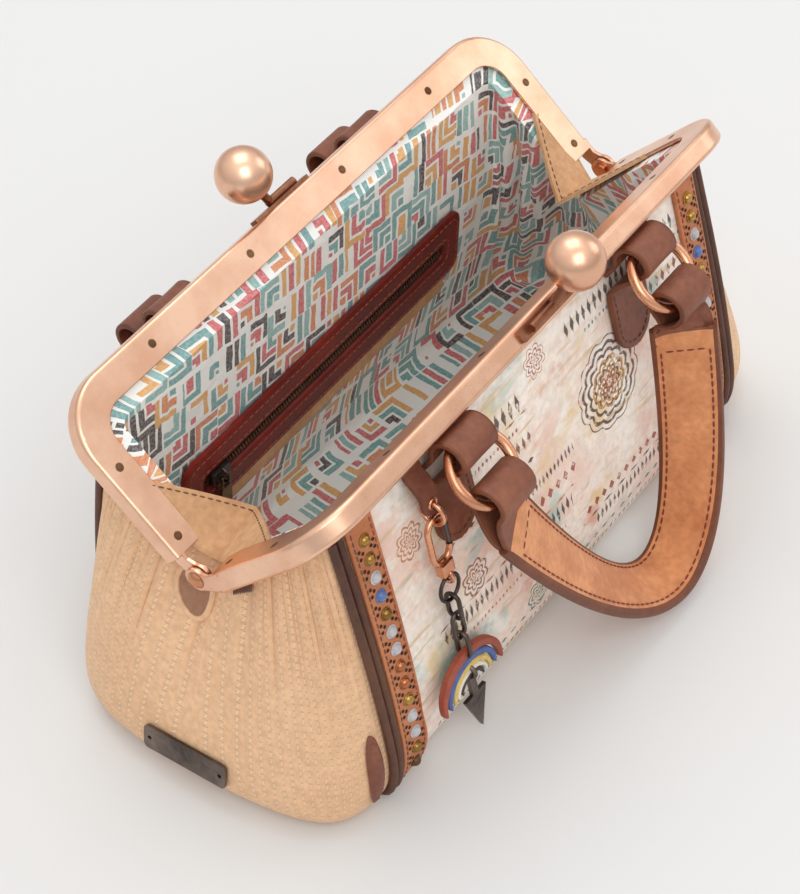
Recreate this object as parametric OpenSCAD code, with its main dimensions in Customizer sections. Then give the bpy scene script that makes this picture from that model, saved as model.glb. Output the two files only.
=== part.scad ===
// Frame handbag with a ball clasp: two hinged channel jaws hold a soft leather bag with a cloth lining.
// Z is up, the base rests on z = 0, X runs along the width and -Y is the front.

/* [Frame] */
// Width over the two arms of a jaw
frame_w = 250; // [220:1:290]
// Distance from the pivot axis to the outer edge of the bar
jaw_reach = 72.5; // [66:0.5:82]
// Height of the pivot axis over the base
pivot_h = 90; // [80:1:105]
// Angle of each open jaw from upright
open_angle = 46; // [36:1:52]
// Width of the channel's flanges
channel_w = 12; // [10:0.5:14]
// Depth of the channel from face to face
channel_d = 8; // [7.5:0.5:9]
// Thickness of the channel's sheet
channel_wall = 1.2; // [1:0.1:1.4]
// Outer radius of the jaw's corners
corner_r = 22; // [20:1:26]
// Diameter of the hinge rivet's shank
hinge_d = 3; // [2:0.2:3.6]
// Diameter of the small rivets that hold the cloth in the channel
rivet_d = 2.8; // [2:0.2:3.4]

/* [Clasp] */
// Diameter of the clasp balls
ball_d = 20.5; // [17:0.5:22]
// Gap between the two balls when they stand side by side
ball_gap = 1.1; // [0.6:0.1:3]
// Distance from the bar's outer edge to the ball's centre
ball_rise = 16; // [14:0.5:20]
// Diameter of the bent stem
stem_d = 3.2; // [2.4:0.2:4]
// Length of the clasp's foot on the bar
foot_l = 30; // [26:1:38]

/* [Bag] */
// Length of the base
base_l = 288; // [270:1:310]
// Depth of the base
base_d = 126; // [110:1:140]
// Thickness of the base
base_t = 3; // [2:0.5:4]
// Width of the front and back panels at the base
panel_w = 220; // [205:1:235]
// Thickness of the leather panels and gussets
leather_t = 2; // [1.4:0.1:2.2]
// Thickness of the lining cloth
lining_t = 1.2; // [0.8:0.1:1.3]
// How far the gussets bulge out
gusset_bulge = 7; // [3:0.5:10]
// How far the panels bulge out
panel_bulge = 3; // [0:0.5:5]
// Diameter of the piping cords
piping_d = 3.2; // [2.4:0.2:3.6]

/* [Strips and plate] */
// Width of the studded strips
strip_w = 13; // [11:0.5:16]
// Thickness of the studded strips
strip_t = 1.8; // [1.2:0.1:2.4]
// Diameter of a stud
stud_d = 5; // [4:0.2:6]
// Number of studs on a strip
stud_count = 14; // [8:1:16]
// Length of the plate on the left gusset
plate_l = 36; // [26:1:42]
// Height of the plate on the left gusset
plate_h = 10; // [7:0.5:14]

/* [Pocket] */
// Length of the leather pocket frame
pocket_l = 166; // [140:1:180]
// Height of the leather pocket frame
pocket_h = 26; // [22:1:30]
// Height of the pocket frame's centre line over the base
pocket_z = 66; // [58:1:72]
// Height of the zip opening
zip_h = 7; // [6:0.5:9]

/* [Handles] */
// Distance between the two rings of a handle
ring_span = 110; // [96:1:120]
// Diameter of a ring's wire
ring_wire = 4; // [3:0.2:4.4]
// Diameter of a ring at the middle of its wire
ring_mid_d = 25; // [24:0.5:28]
// Width of the leather tabs and loops
tab_w = 19; // [16:0.5:19.5]
// Length of a tab below its loop
tab_l = 44; // [36:1:50]
// Thickness of the tab's leather
tab_t = 2; // [1.6:0.1:2.2]
// Width of the handle strap
strap_w = 24; // [20:0.5:26]
// Thickness of the handle strap
strap_t = 5; // [4:0.2:6]
// Height of the hanging strap's lowest middle point over the base
strap_low = 7; // [5:0.5:20]

/* [Charm] */
// Diameter of the wire of the charm's links
link_wire = 1.7; // [1.2:0.1:1.8]
// Inner length of a chain link
link_l = 6; // [6:0.2:8]
// Outer radius of the layered arch
arch_r = 16; // [13:0.5:18]
// Thickness of the arch
arch_t = 3; // [2:0.2:3.6]
// Height of the metal drop
drop_h = 16; // [12:0.5:18]

/* [Hidden] */
$fn = 48;
front = -1;
back = 1;
left = -1;
right = 1;

// Clearance between neighbours that don't touch
clear = 0.3;
// Running clearance of a pin in its hole
run = 0.05;

// Colours
metal = "#D89C7C";
tan_leather = "#D9AE86";
cognac = "#C17A49";
dark_leather = "#6A4034";
printed = "#E8DFD0";
cloth = "#E2E2DA";
pocket_red = "#6F2416";

// Jaw: u runs from the pivot along the arm, n points into the mouth
mid_n = -clear - channel_d / 2;
cloth_gap = 0.5;
panel_n = -clear - channel_d + channel_wall + cloth_gap + leather_t / 2;
lining_n = -clear - channel_wall - cloth_gap - lining_t / 2;
arm_start = 9;
edge_r = 1.6;
ear_r = 4.5;
ear_t = 1.4;
ear_low = 2;
washer_t = 0.6;
washer_gap = 0.2;
ear_in = ear_t + washer_t + 2 * washer_gap;
joggle_u = 4;
head_t = 1.2;
head_gap = 0.1;
rivet_bar_x = [for (k = [-1.5, -0.5, 0.5, 1.5]) k * 0.212 * frame_w];
rivet_arm_u = [0.2, 0.607] * jaw_reach;

function jaw_pt(side, x, u, n) = [x, side * (u * sin(open_angle) - n * cos(open_angle)),
                                  pivot_h + u * cos(open_angle) + n * sin(open_angle)];
function lerp(a, b, t) = a + (b - a) * t;
function smooth(t) = let(c = min(1, max(0, t))) c * c * (3 - 2 * c);
function spow(a, e) = sign(a) * pow(abs(a), e);

module place_jaw(side) {
  rotate([0, 0, side == front ? 0 : 180])
    translate([0, 0, pivot_h]) rotate([open_angle, 0, 0]) children();
}

// Soft shell: every wall runs from the base outline up to the mouth of the channel and a little into it
seam_angle = 46;
mouth_gap = 2.7;
grip_in = 5;
mouth_e = channel_w + mouth_gap;
grip_e = channel_w - grip_in;
end_shape = 0.6;
wall_rows = 8;
cols_gusset = 24;
cols_panel = 20;
bulge_shape = 0.8;
// The rim of a gusset dips below the hinge between the two arms
dip_h = 6;
dip_span = 0.2;
dip_slope = 0.2;
dip_z = pivot_h - dip_h;
wall_z = base_t + clear;

// Path of an edge held e inside the jaw's outer outline, from the pivot (q = 0) to the seam (q = 1)
function arm_len() = jaw_reach - corner_r - arm_start;
function seam_len(e) = (corner_r - e) * seam_angle * PI / 180;
function side_path(q, e) =
  let(d = q * (arm_len() + seam_len(e)), over = d - arm_len(), a = over / (corner_r - e) * 180 / PI)
  over <= 0 ? [frame_w / 2 - e, arm_start + d]
            : [frame_w / 2 - corner_r + (corner_r - e) * cos(a),
               jaw_reach - corner_r + (corner_r - e) * sin(a)];
// Path from the middle of the bar (t = 0) to the seam (t = 1)
function bar_path(t, e) =
  let(flat = frame_w / 2 - corner_r, bend = (corner_r - e) * (90 - seam_angle) * PI / 180,
      d = t * (flat + bend), over = d - flat, a = over / (corner_r - e) * 180 / PI)
  over <= 0 ? [d, jaw_reach - e]
            : [flat + (corner_r - e) * sin(a), jaw_reach - corner_r + (corner_r - e) * cos(a)];

// Base outline: s runs round an end from the front seam (-1) to the back seam (1)
function end_pt(s, end, inset) =
  [end * (panel_w / 2 + (base_l / 2 - inset - panel_w / 2) * spow(cos(90 * s), end_shape)),
   (base_d / 2 - inset) * spow(sin(90 * s), end_shape)];
function end_out(s, end) = let(v = [end * (1.05 - abs(s)), 1.1 * s]) [v[0], v[1], 0] / norm(v);
function base_outline(inset, steps) = concat(
  [for (i = [0:steps]) end_pt(-1 + 2 * i / steps, right, inset)],
  [for (i = [0:steps]) end_pt(1 - 2 * i / steps, left, inset)]);

// Where a sheet leaves the channel: the lining, which lies further in, leaves it lower
function mouth_at(n) = mouth_e + n - panel_n;
// Gusset surface: s round the end, v up the wall, n the place of the sheet in the channel
function rim_end(s, end, e, n) =
  let(p = side_path(abs(s), e), held = jaw_pt(s < 0 ? front : back, end * p[0], p[1], n),
      dip = [end * (frame_w / 2 - mouth_e - (n - panel_n)), 0, dip_z + (mouth_at(n) - e) * dip_slope],
      k = smooth(abs(s) / dip_span))
  lerp(dip, held, k);
function gusset_pt(s, end, v, inset, n, bulge) =
  let(b = end_pt(s, end, inset), low = [b[0], b[1], wall_z + inset])
  lerp(low, rim_end(s, end, mouth_at(n), n), v) + end_out(s, end) * bulge * sin(180 * pow(v, bulge_shape));
// Panel surface: t across from left (-1) to right (1)
function rim_panel(t, side, e, n) = let(p = bar_path(abs(t), e)) jaw_pt(side, sign(t) * p[0], p[1], n);
function panel_pt(t, side, v, inset, n, bulge) =
  let(low = [t * panel_w / 2, side * (base_d / 2 - inset), wall_z + inset])
  lerp(low, rim_panel(t, side, mouth_at(n), n), v) + [0, side * bulge * sin(180 * pow(v, bulge_shape)), 0];

function hold_out(side) = [0, side * cos(open_angle), -sin(open_angle)];
function unit(a) = a / norm(a);
// Directions in which a wall has its thickness: level on the wall, across the channel in the jaw
function gusset_rows(s, end, inset, n, bulge) = concat(
  [for (i = [0:wall_rows]) gusset_pt(s, end, i / wall_rows, inset, n, bulge)],
  [rim_end(s, end, grip_e, n)]);
function gusset_outs(s, end) = let(o = end_out(s, end),
  h = unit(lerp(o, hold_out(s < 0 ? front : back), smooth(abs(s) / dip_span)))) concat(
  [for (i = [1:wall_rows]) o], [unit(o + h), h]);
function panel_rows(t, side, inset, n, bulge) = concat(
  [for (i = [0:wall_rows]) panel_pt(t, side, i / wall_rows, inset, n, bulge)],
  [rim_panel(t, side, grip_e, n)]);
function panel_outs(side) = let(o = [0, side, 0], h = hold_out(side)) concat(
  [for (i = [1:wall_rows]) o], [unit(o + h), h]);

// A sheet from columns of points and their outward directions
module sheet(cols, outs, t) {
  m = len(cols);
  k = len(cols[0]);
  pts = concat([for (i = [0:m - 1], j = [0:k - 1]) cols[i][j] + outs[i][j] * t / 2],
               [for (i = [0:m - 1], j = [0:k - 1]) cols[i][j] - outs[i][j] * t / 2]);
  o = m * k;
  faces = concat(
    [for (i = [0:m - 2], j = [0:k - 2]) each [[i * k + j, i * k + j + 1, (i + 1) * k + j + 1],
                                              [i * k + j, (i + 1) * k + j + 1, (i + 1) * k + j]]],
    [for (i = [0:m - 2], j = [0:k - 2]) each [[o + i * k + j, o + (i + 1) * k + j + 1, o + i * k + j + 1],
                                              [o + i * k + j, o + (i + 1) * k + j, o + (i + 1) * k + j + 1]]],
    [for (i = [0:m - 2]) each [[i * k, (i + 1) * k, o + (i + 1) * k], [i * k, o + (i + 1) * k, o + i * k]]],
    [for (i = [0:m - 2]) each [[i * k + k - 1, o + (i + 1) * k + k - 1, (i + 1) * k + k - 1],
                               [i * k + k - 1, o + i * k + k - 1, o + (i + 1) * k + k - 1]]],
    [for (j = [0:k - 2]) each [[j, o + j + 1, j + 1], [j, o + j, o + j + 1]]],
    [for (j = [0:k - 2]) let(a = (m - 1) * k + j) each [[a, a + 1, o + a + 1], [a, o + a + 1, o + a]]]);
  polyhedron(pts, faces, convexity = 8);
}

// A bar swept along points: wides gives the first cross direction at each point, the second follows from it
module sweep(path, wides, section, loop = false) {
  m = len(path);
  k = len(section);
  along = [for (i = [0:m - 1])
    let(a = loop ? (i + m - 1) % m : max(0, i - 1), b = loop ? (i + 1) % m : min(m - 1, i + 1))
    unit(path[b] - path[a])];
  first = [for (i = [0:m - 1]) unit(wides[i] - along[i] * (wides[i] * along[i]))];
  pts = [for (i = [0:m - 1], q = section) path[i] + first[i] * q[0] + cross(along[i], first[i]) * q[1]];
  skin = [for (i = [0:loop ? m - 1 : m - 2], j = [0:k - 1])
    let(a = i * k + j, b = i * k + (j + 1) % k, c = (i + 1) % m * k + (j + 1) % k, d = (i + 1) % m * k + j)
    each [[a, d, c], [a, c, b]]];
  caps = loop ? [] : [[for (j = [0:k - 1]) j], [for (j = [k - 1:-1:0]) (m - 1) * k + j]];
  polyhedron(pts, concat(skin, caps), convexity = 8);
}
function ring_section(r, sides) = [for (j = [0:sides - 1]) r * [cos(360 * j / sides), sin(360 * j / sides)]];

module base_panel() {
  color(dark_leather) linear_extrude(base_t) polygon(base_outline(leather_t / 2 + clear, 24));
}

module base_piping() {
  r = (base_t - clear) / 2;
  steps = 28;
  turns = [for (end = [right, left], i = [0:steps]) [end * (-1 + 2 * i / steps), end]];
  path = [for (a = turns) let(p = end_pt(a[0], a[1], 0))
    [p[0], p[1], r + run] + end_out(a[0], a[1]) * (r + clear - leather_t / 2)];
  color(dark_leather) sweep(path, [for (a = turns) end_out(a[0], a[1])], ring_section(r, 6), loop = true);
}

seam_gap = 0.995;
module panel(side) {
  ts = [for (i = [0:cols_panel]) side * seam_gap * (1 - 2 * i / cols_panel)];
  color(printed) sheet([for (t = ts) panel_rows(t, side, 0, panel_n, panel_bulge)],
                       [for (t = ts) panel_outs(side)], leather_t);
}

gusset_span = 0.9995;
function bulge_at(s) = lerp(gusset_bulge, panel_bulge, abs(s));
module gusset(end) {
  s = [for (i = [0:cols_gusset]) end * gusset_span * (2 * i / cols_gusset - 1)];
  color(tan_leather) sheet([for (a = s) gusset_rows(a, end, 0, panel_n, bulge_at(a))],
                           [for (a = s) gusset_outs(a, end)], leather_t);
}

// The lining hangs loose inside: a bag with its own floor, held in the same channel
lining_inset = 4;
lining_slack = 6;
lining_floor = wall_z + lining_inset;
lining_cols = 12;
function lining_ring() = concat(
  [for (i = [0:lining_cols - 1]) let(s = -1 + 2 * i / lining_cols)
    [gusset_rows(s, right, lining_inset, lining_n, -lining_slack / 2), gusset_outs(s, right)]],
  [for (i = [0:lining_cols - 1]) let(t = 1 - 2 * i / lining_cols)
    [panel_rows(t, back, lining_inset, lining_n, -lining_slack), panel_outs(back)]],
  [for (i = [0:lining_cols - 1]) let(s = 1 - 2 * i / lining_cols)
    [gusset_rows(s, left, lining_inset, lining_n, -lining_slack / 2), gusset_outs(s, left)]],
  [for (i = [0:lining_cols - 1]) let(t = -1 + 2 * i / lining_cols)
    [panel_rows(t, front, lining_inset, lining_n, -lining_slack), panel_outs(front)]]);

module lining() {
  ring = lining_ring();
  m = len(ring);
  k = len(ring[0][0]);
  o = m * k;
  drop = [0, 0, lining_t];
  outer = [for (c = ring, j = [0:k - 1]) c[0][j] + c[1][j] * lining_t / 2 - (j == 0 ? drop : [0, 0, 0])];
  inner = [for (c = ring, j = [0:k - 1]) c[0][j] - c[1][j] * lining_t / 2];
  walls = [for (i = [0:m - 1], j = [0:k - 2]) let(a = i * k + j, b = (i + 1) % m * k + j)
    each [[a, a + 1, b + 1], [a, b + 1, b], [o + a, o + b + 1, o + a + 1], [o + a, o + b, o + b + 1]]];
  hem = [for (i = [0:m - 1]) let(a = i * k + k - 1, b = (i + 1) % m * k + k - 1)
    each [[a, o + b, b], [a, o + a, o + b]]];
  mid = 2 * o;
  floors = [for (i = [0:m - 1]) let(a = i * k, b = (i + 1) % m * k)
    each [[a, b, mid], [o + b, o + a, mid + 1]]];
  middles = [[0, 0, lining_floor - lining_t], [0, 0, lining_floor]];
  color(cloth) polyhedron(concat(outer, inner, middles), concat(walls, hem, floors), convexity = 10);
}

// Two cords lie side by side along each seam between a gusset and a panel
trim_top = 0.93;
piping_rows = 12;
function seam_pt(side, end, v) =
  panel_pt(end, side, v, 0, panel_n, panel_bulge) + [0, side * (leather_t / 2 + piping_d / 2 + 2 * clear), 0];
module piping(side, end) {
  step = piping_d / 2 + clear / 3;
  rows = [for (i = [0:piping_rows]) trim_top * i / piping_rows];
  for (k = [-1, 1])
    color(dark_leather) sweep([for (v = rows) seam_pt(side, end, v) + [k * step, 0, 0]],
                              [for (v = rows) [1, 0, 0]], ring_section(piping_d / 2, 6));
}

// Studded leather strips beside the front seams
strip_edge = panel_w / 2 - piping_d - 3 * clear;
strip_rows = 12;
strip_low = 0.02;
trim_gap = 0.2;
stud_rows = [0.07, 0.88];
stud_step = 0.03;
dome_share = 0.34;
function front_out(x, v, out) =
  panel_pt(2 * x / panel_w, front, v, 0, panel_n, panel_bulge) - [0, leather_t / 2 + trim_gap + out, 0];
module strip(end) {
  mid = end * (strip_edge - strip_w / 2);
  xs = [mid - strip_w / 2, mid, mid + strip_w / 2];
  rows = [for (j = [0:strip_rows]) lerp(strip_low, trim_top, j / strip_rows)];
  color(cognac) sheet([for (x = xs) [for (v = rows) front_out(x, v, strip_t / 2)]],
                      [for (x = xs) [for (v = rows) [0, -1, 0]]], strip_t);
}
module dome(r, h) {
  ball = (r * r + h * h) / (2 * h);
  intersection() {
    translate([0, 0, h - ball]) sphere(ball);
    cylinder(h = h, r = r);
  }
}
module studs(end) {
  x = end * (strip_edge - strip_w / 2);
  for (i = [0:stud_count - 1]) {
    v = lerp(stud_rows[0], stud_rows[1], i / (stud_count - 1));
    rise = front_out(x, v + stud_step, 0) - front_out(x, v - stud_step, 0);
    color("#B08A5A") translate(front_out(x, v, strip_t + clear / 2))
      rotate([atan2(rise[2], rise[1]), 0, 0]) dome(stud_d / 2, stud_d * dome_share);
  }
}

// Plate and oval patch on the left gusset
plate_t = 1.2;
plate_z = 18;
plate_r = 2;
plate_hole = 1.6;
plate_hole_in = 2.6;
plate_step = 0.08;
patch_t = 1.6;
patch_turns = [-0.965, -0.88];
patch_rows = [0.04, 0.34];
patch_tip = 0.08;
patch_steps = 8;
module rounded(w, h, r) {
  square([w - 2 * r, h], center = true);
  square([w, h - 2 * r], center = true);
  for (x = [-1, 1], y = [-1, 1]) translate([x * (w / 2 - r), y * (h / 2 - r)]) circle(r);
}
function plate_at(v) = gusset_pt(0, left, v, 0, panel_n, gusset_bulge);
module gusset_plate() {
  v = (plate_z - wall_z) / (dip_z - wall_z);
  over = plate_at(v + plate_step) - plate_at(v - plate_step);
  lean = atan2(over[0], over[2]);
  color("#8A6A58") translate(plate_at(v)) rotate([0, lean, 0])
    translate([-leather_t / 2 - 2 * trim_gap, 0, 0]) rotate([90, 0, -90])
    linear_extrude(plate_t) difference() {
      rounded(plate_l, plate_h, plate_r);
      for (x = [-1, 1]) translate([x * (plate_l / 2 - plate_hole_in), 0]) circle(d = plate_hole);
    }
}
function patch_s(i) = lerp(patch_turns[0], patch_turns[1], i / patch_steps);
function patch_half(i) = let(f = 1 - 2 * i / patch_steps)
  (patch_rows[1] - patch_rows[0]) / 2 * sqrt(max(patch_tip, 1 - f * f));
function patch_pt(i, j) =
  let(s = patch_s(i), mid = (patch_rows[0] + patch_rows[1]) / 2,
      v = mid + patch_half(i) * (2 * j / patch_steps - 1))
  gusset_pt(s, left, v, 0, panel_n, bulge_at(s))
    + end_out(s, left) * (leather_t / 2 + trim_gap + patch_t / 2);
module gusset_patch() {
  turns = [for (i = [patch_steps:-1:0]) i];
  color(dark_leather) sheet([for (i = turns) [for (j = [0:patch_steps]) patch_pt(i, j)]],
                            [for (i = turns) [for (j = [0:patch_steps]) end_out(patch_s(i), left)]], patch_t);
}

// Leather facing inside each hinge: a fan from the hinge up both arms that dips inward at the middle
facing_l = 36;
facing_in = 17;
facing_t = 1.4;
facing_gap = 1.5;
facing_rise = 4;
facing_start = 0.16;
facing_span = 0.98;
nudge = 0.02;
module hinge_facing(end) {
  x0 = frame_w / 2 - channel_w - facing_gap;
  fan = 12;
  rows = 6;
  function spoke(b) = [-facing_in * (1 - pow(abs(b), 1.4)), b * facing_l * sin(open_angle),
                       lerp(facing_rise, facing_l * cos(open_angle), pow(abs(b), 1.2))];
  function fan_pt(b, a) = let(p = spoke(b) * a) [end * (x0 + p[0]), p[1], pivot_h + cloth_gap + p[2]];
  function fan_out(b, a) = unit(cross(fan_pt(b + nudge, a) - fan_pt(b - nudge, a),
                                      fan_pt(b, a + nudge) - fan_pt(b, a - nudge)));
  bs = [for (i = [0:fan]) end * (2 * i / fan - 1) * facing_span];
  as = [for (j = [0:rows]) lerp(facing_start, 1, j / rows)];
  color(tan_leather) sheet([for (b = bs) [for (a = as) fan_pt(b, a)]],
                           [for (b = bs) [for (a = as) end * fan_out(b, a)]], facing_t);
}

// Zip pocket on the back wall of the lining
pocket_t = 2;
pocket_r = 6;
zip_tape_t = 0.8;
zip_gap = 0.2;
coil_t = 0.5;
coil_w = 1.6;
zip_l = pocket_l - (pocket_h - zip_h);
slider_l = 10;
slider_t = 2.2;
slider_side = 0.6;
slider_r = 1.6;
slider_end = 3;
slider_travel = zip_l - slider_l - 2 * slider_end;
bail_r = 3;
bail_wire = 1.2;
pull_l = 24;
pull_w = 5;
pull_r = 1.5;
pull_neck = 7;
pull_top = 5;
function lining_wall(z) =
  let(top = rim_panel(0, back, mouth_at(lining_n), lining_n)[2])
  panel_pt(0, back, (z - lining_floor) / (top - lining_floor), lining_inset, lining_n, -lining_slack);
module on_pocket() {
  low = lining_wall(pocket_z - pocket_h / 2);
  high = lining_wall(pocket_z + pocket_h / 2);
  near = min(lining_wall(pocket_z)[1], (low[1] + high[1]) / 2);
  translate([0, near - lining_t / 2 - clear, pocket_z])
    rotate([-atan2(high[1] - low[1], high[2] - low[2]), 0, 0]) children();
}
module pocket_frame() {
  color(pocket_red) on_pocket() rotate([90, 0, 0]) linear_extrude(pocket_t) difference() {
    rounded(pocket_l, pocket_h, pocket_r);
    rounded(zip_l, zip_h, zip_h / 2 - zip_gap / 2);
  }
}
module pocket_zip() {
  color("#3A2420") on_pocket() {
    rotate([90, 0, 0]) linear_extrude(zip_tape_t)
      rounded(zip_l - 2 * zip_gap, zip_h - 2 * zip_gap, zip_h / 2 - 2 * zip_gap);
    translate([0, -zip_tape_t, 0]) rotate([90, 0, 0]) linear_extrude(coil_t)
      square([zip_l - zip_h, coil_w], center = true);
  }
}
module on_slider() {
  on_pocket() translate([-slider_travel / 2, -zip_tape_t - coil_t - zip_gap / 2, 0]) children();
}
module zip_slider() {
  color("#5A4A40") on_slider() {
    rotate([90, 0, 0]) linear_extrude(slider_t) rounded(slider_l, zip_h - 2 * slider_side, slider_r);
    translate([0, -slider_t, 0]) rotate([0, 90, 0]) rotate([0, 0, 180]) intersection() {
      rotate_extrude() translate([bail_r, 0]) circle(bail_wire / 2);
      translate([-2 * bail_r, 0, -bail_wire]) cube([4 * bail_r, 2 * bail_r, 2 * bail_wire]);
    }
  }
}
module zip_pull() {
  bar = bail_wire;
  color("#5A4A40") on_slider() translate([0, -slider_t - bail_r + bail_wire + clear, 0]) {
    rotate([0, 90, 0]) cylinder(d = bar, h = pull_w, center = true);
    for (x = [-1, 1]) translate([x * (pull_w - bar) / 2, 0, -pull_neck]) cylinder(d = bar, h = pull_neck);
    translate([0, bar / 2, -pull_top]) rotate([90, 0, 0]) linear_extrude(bar)
      translate([0, -(pull_l - pull_top) / 2]) rounded(pull_w + bar / 2, pull_l - pull_top, pull_r);
  }
}

// Jaw pieces, modelled with u upward and n along +Y; the two jaws are the same part turned round
module channel_section() {
  difference() {
    union() {
      translate([corner_r - channel_w, -channel_d / 2]) square([channel_w - edge_r, channel_d]);
      translate([corner_r - 2 * edge_r, -channel_d / 2 + edge_r])
        square([2 * edge_r, channel_d - 2 * edge_r]);
      for (s = [-1, 1]) translate([corner_r - edge_r, s * (channel_d / 2 - edge_r)]) circle(edge_r);
    }
    translate([corner_r - channel_w - 1, -channel_d / 2 + channel_wall])
      square([channel_w - channel_wall + 1, channel_d - 2 * channel_wall]);
  }
}
module ear_outline() {
  circle(ear_r);
  polygon([[-ear_r, 0], [ear_r, 0], [-clear, arm_start - ear_low], [-clear, arm_start + joggle_u],
           [-clear - channel_d + edge_r, arm_start + joggle_u],
           [-clear - channel_d + edge_r, arm_start - ear_low]]);
}
module ear(x) {
  translate([x, 0, 0]) rotate([90, 0, 90]) linear_extrude(ear_t) ear_outline();
}
module jaw_frame() {
  flat = frame_w / 2 - corner_r;
  step_d = channel_d - 2 * channel_wall;
  color(metal) difference() {
    union() {
      translate([0, mid_n, 0]) {
        translate([flat, 0, jaw_reach - corner_r]) rotate([0, -90, 0])
          linear_extrude(2 * flat) channel_section();
        for (end = [-1, 1]) {
          translate([end * flat, 0, jaw_reach - corner_r]) rotate([90, 0, 0]) rotate([0, 0, end > 0 ? 0 : 90])
            rotate_extrude(angle = 90) channel_section();
          translate([end * flat, 0, arm_start]) rotate([0, 0, end > 0 ? 0 : 180])
            linear_extrude(jaw_reach - corner_r - arm_start) channel_section();
        }
      }
      ear(-frame_w / 2);
      ear(frame_w / 2 - ear_in - ear_t);
      translate([frame_w / 2 - ear_in - ear_t, mid_n - step_d / 2, arm_start])
        cube([ear_in + ear_t - channel_wall / 2, step_d, joggle_u]);
    }
    rotate([0, 90, 0]) cylinder(d = hinge_d + 2 * run, h = 2 * frame_w, center = true);
    jaw_rivet_axes() cylinder(d = rivet_d + 2 * run, h = 3 * channel_wall, center = true);
  }
}
module jaw_rivet_axes() {
  for (x = rivet_bar_x) translate([x, -clear, jaw_reach - channel_w / 2]) rotate([-90, 0, 0]) children();
  for (end = [-1, 1], u = rivet_arm_u)
    translate([end * (frame_w / 2 - channel_w / 2), -clear, u]) rotate([-90, 0, 0]) children();
}
module jaw_rivets() {
  color("#9C7A50") jaw_rivet_axes() translate([0, 0, -channel_wall - head_gap]) {
    cylinder(d = rivet_d, h = channel_wall + head_gap);
    cylinder(d = rivet_d * 0.6, h = channel_wall + 2 * head_gap);
  }
}
module hinge_rivet() {
  grip = ear_in + ear_t;
  color("#B98565") translate([-frame_w / 2, 0, 0]) rotate([0, 90, 0]) {
    cylinder(d = hinge_d, h = grip + head_gap);
    translate([0, 0, grip + head_gap]) cylinder(d = 1.8 * hinge_d, h = head_t);
    translate([0, 0, -head_gap]) cylinder(d = hinge_d, h = 2 * head_gap);
    translate([0, 0, -head_gap]) rotate([180, 0, 0]) dome(hinge_d * 1.1, hinge_d * 0.55);
  }
}
module hinge_washer() {
  color("#5A463C") translate([-frame_w / 2 + ear_t + washer_gap, 0, 0]) rotate([0, 90, 0]) difference() {
    cylinder(d = 2.6 * hinge_d, h = washer_t);
    translate([0, 0, -1]) cylinder(d = hinge_d + 4 * run, h = washer_t + 2);
  }
}

// Clasp: a slotted foot on the bar, a bent stem and a ball that leans over the mouth
ball_x = (ball_d + ball_gap) / 2;
ball_n = 4;
foot_t = 1.2;
foot_r = 1.2;
slot_w = 1.1;
slot_in = 0.6;
stem_sink = 0.4;
stem_run = 7;
stem_u = jaw_reach + foot_t + stem_d / 2 - stem_sink;
ball_c = [ball_x, ball_n, jaw_reach + ball_rise];
module rod(a, b, d) {
  v = b - a;
  translate(a) rotate([0, acos(v[2] / norm(v)), atan2(v[1], v[0])]) cylinder(d = d, h = norm(v));
}
stem_bend = [ball_x - stem_run, mid_n, stem_u];
stem_in = 5;
stem_end = ball_c - unit(ball_c - stem_bend) * (ball_d / 2 - stem_in);
module clasp_arm() {
  slot_l = foot_l * 0.4;
  start = [-foot_l / 3, mid_n, stem_u];
  color(metal) {
    difference() {
      translate([0, mid_n, jaw_reach]) linear_extrude(foot_t) rounded(foot_l, channel_d - 2 * edge_r, foot_r);
      translate([-foot_l * 0.1 - slot_l / 2, mid_n - channel_d / 2 + edge_r + slot_in, jaw_reach - foot_t])
        cube([slot_l, slot_w, 3 * foot_t]);
    }
    rod(start, stem_bend, stem_d);
    translate(stem_bend) sphere(d = stem_d + stem_sink);
    rod(stem_bend, stem_end, stem_d);
  }
}
module clasp_ball() {
  color(metal) difference() {
    translate(ball_c) sphere(d = ball_d);
    rod(stem_bend, stem_end + unit(ball_c - stem_bend) * run, stem_d + 2 * run);
  }
}

// Rings, tabs and handles: the ring's arc runs through a wide leather loop, so the loop's bore is larger
ring_r = ring_mid_d / 2;
ring_tilt = asin(tab_w / 2 / ring_r);
ring_sag = ring_r * (1 - cos(ring_tilt));
ring_end = ring_wire / 2 / cos(ring_tilt);
ring_rise = (ring_sag + ring_end - ring_wire / 2) / 2;
loop_bore = ring_rise + ring_wire / 2 + 2.5 * clear;
loop_r = loop_bore + tab_t;
ring_rest = 43;
tab_in = 5;
tab_gap = 0.8;
tab_neck = 16;
tab_turn = [215, 332];
ring_arm = ring_r - ring_rise;
tab_axis = jaw_pt(front, 0, jaw_reach - tab_in, -clear - channel_d - loop_r - tab_gap);
loop_axis = tab_axis - 2 * ring_arm * [0, cos(ring_rest), sin(ring_rest)];
rim_z = rim_panel(0, front, mouth_e, panel_n)[2];
function front_y(z) = panel_pt(0, front, (z - wall_z) / (rim_z - wall_z), 0, panel_n, panel_bulge)[1];

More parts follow.
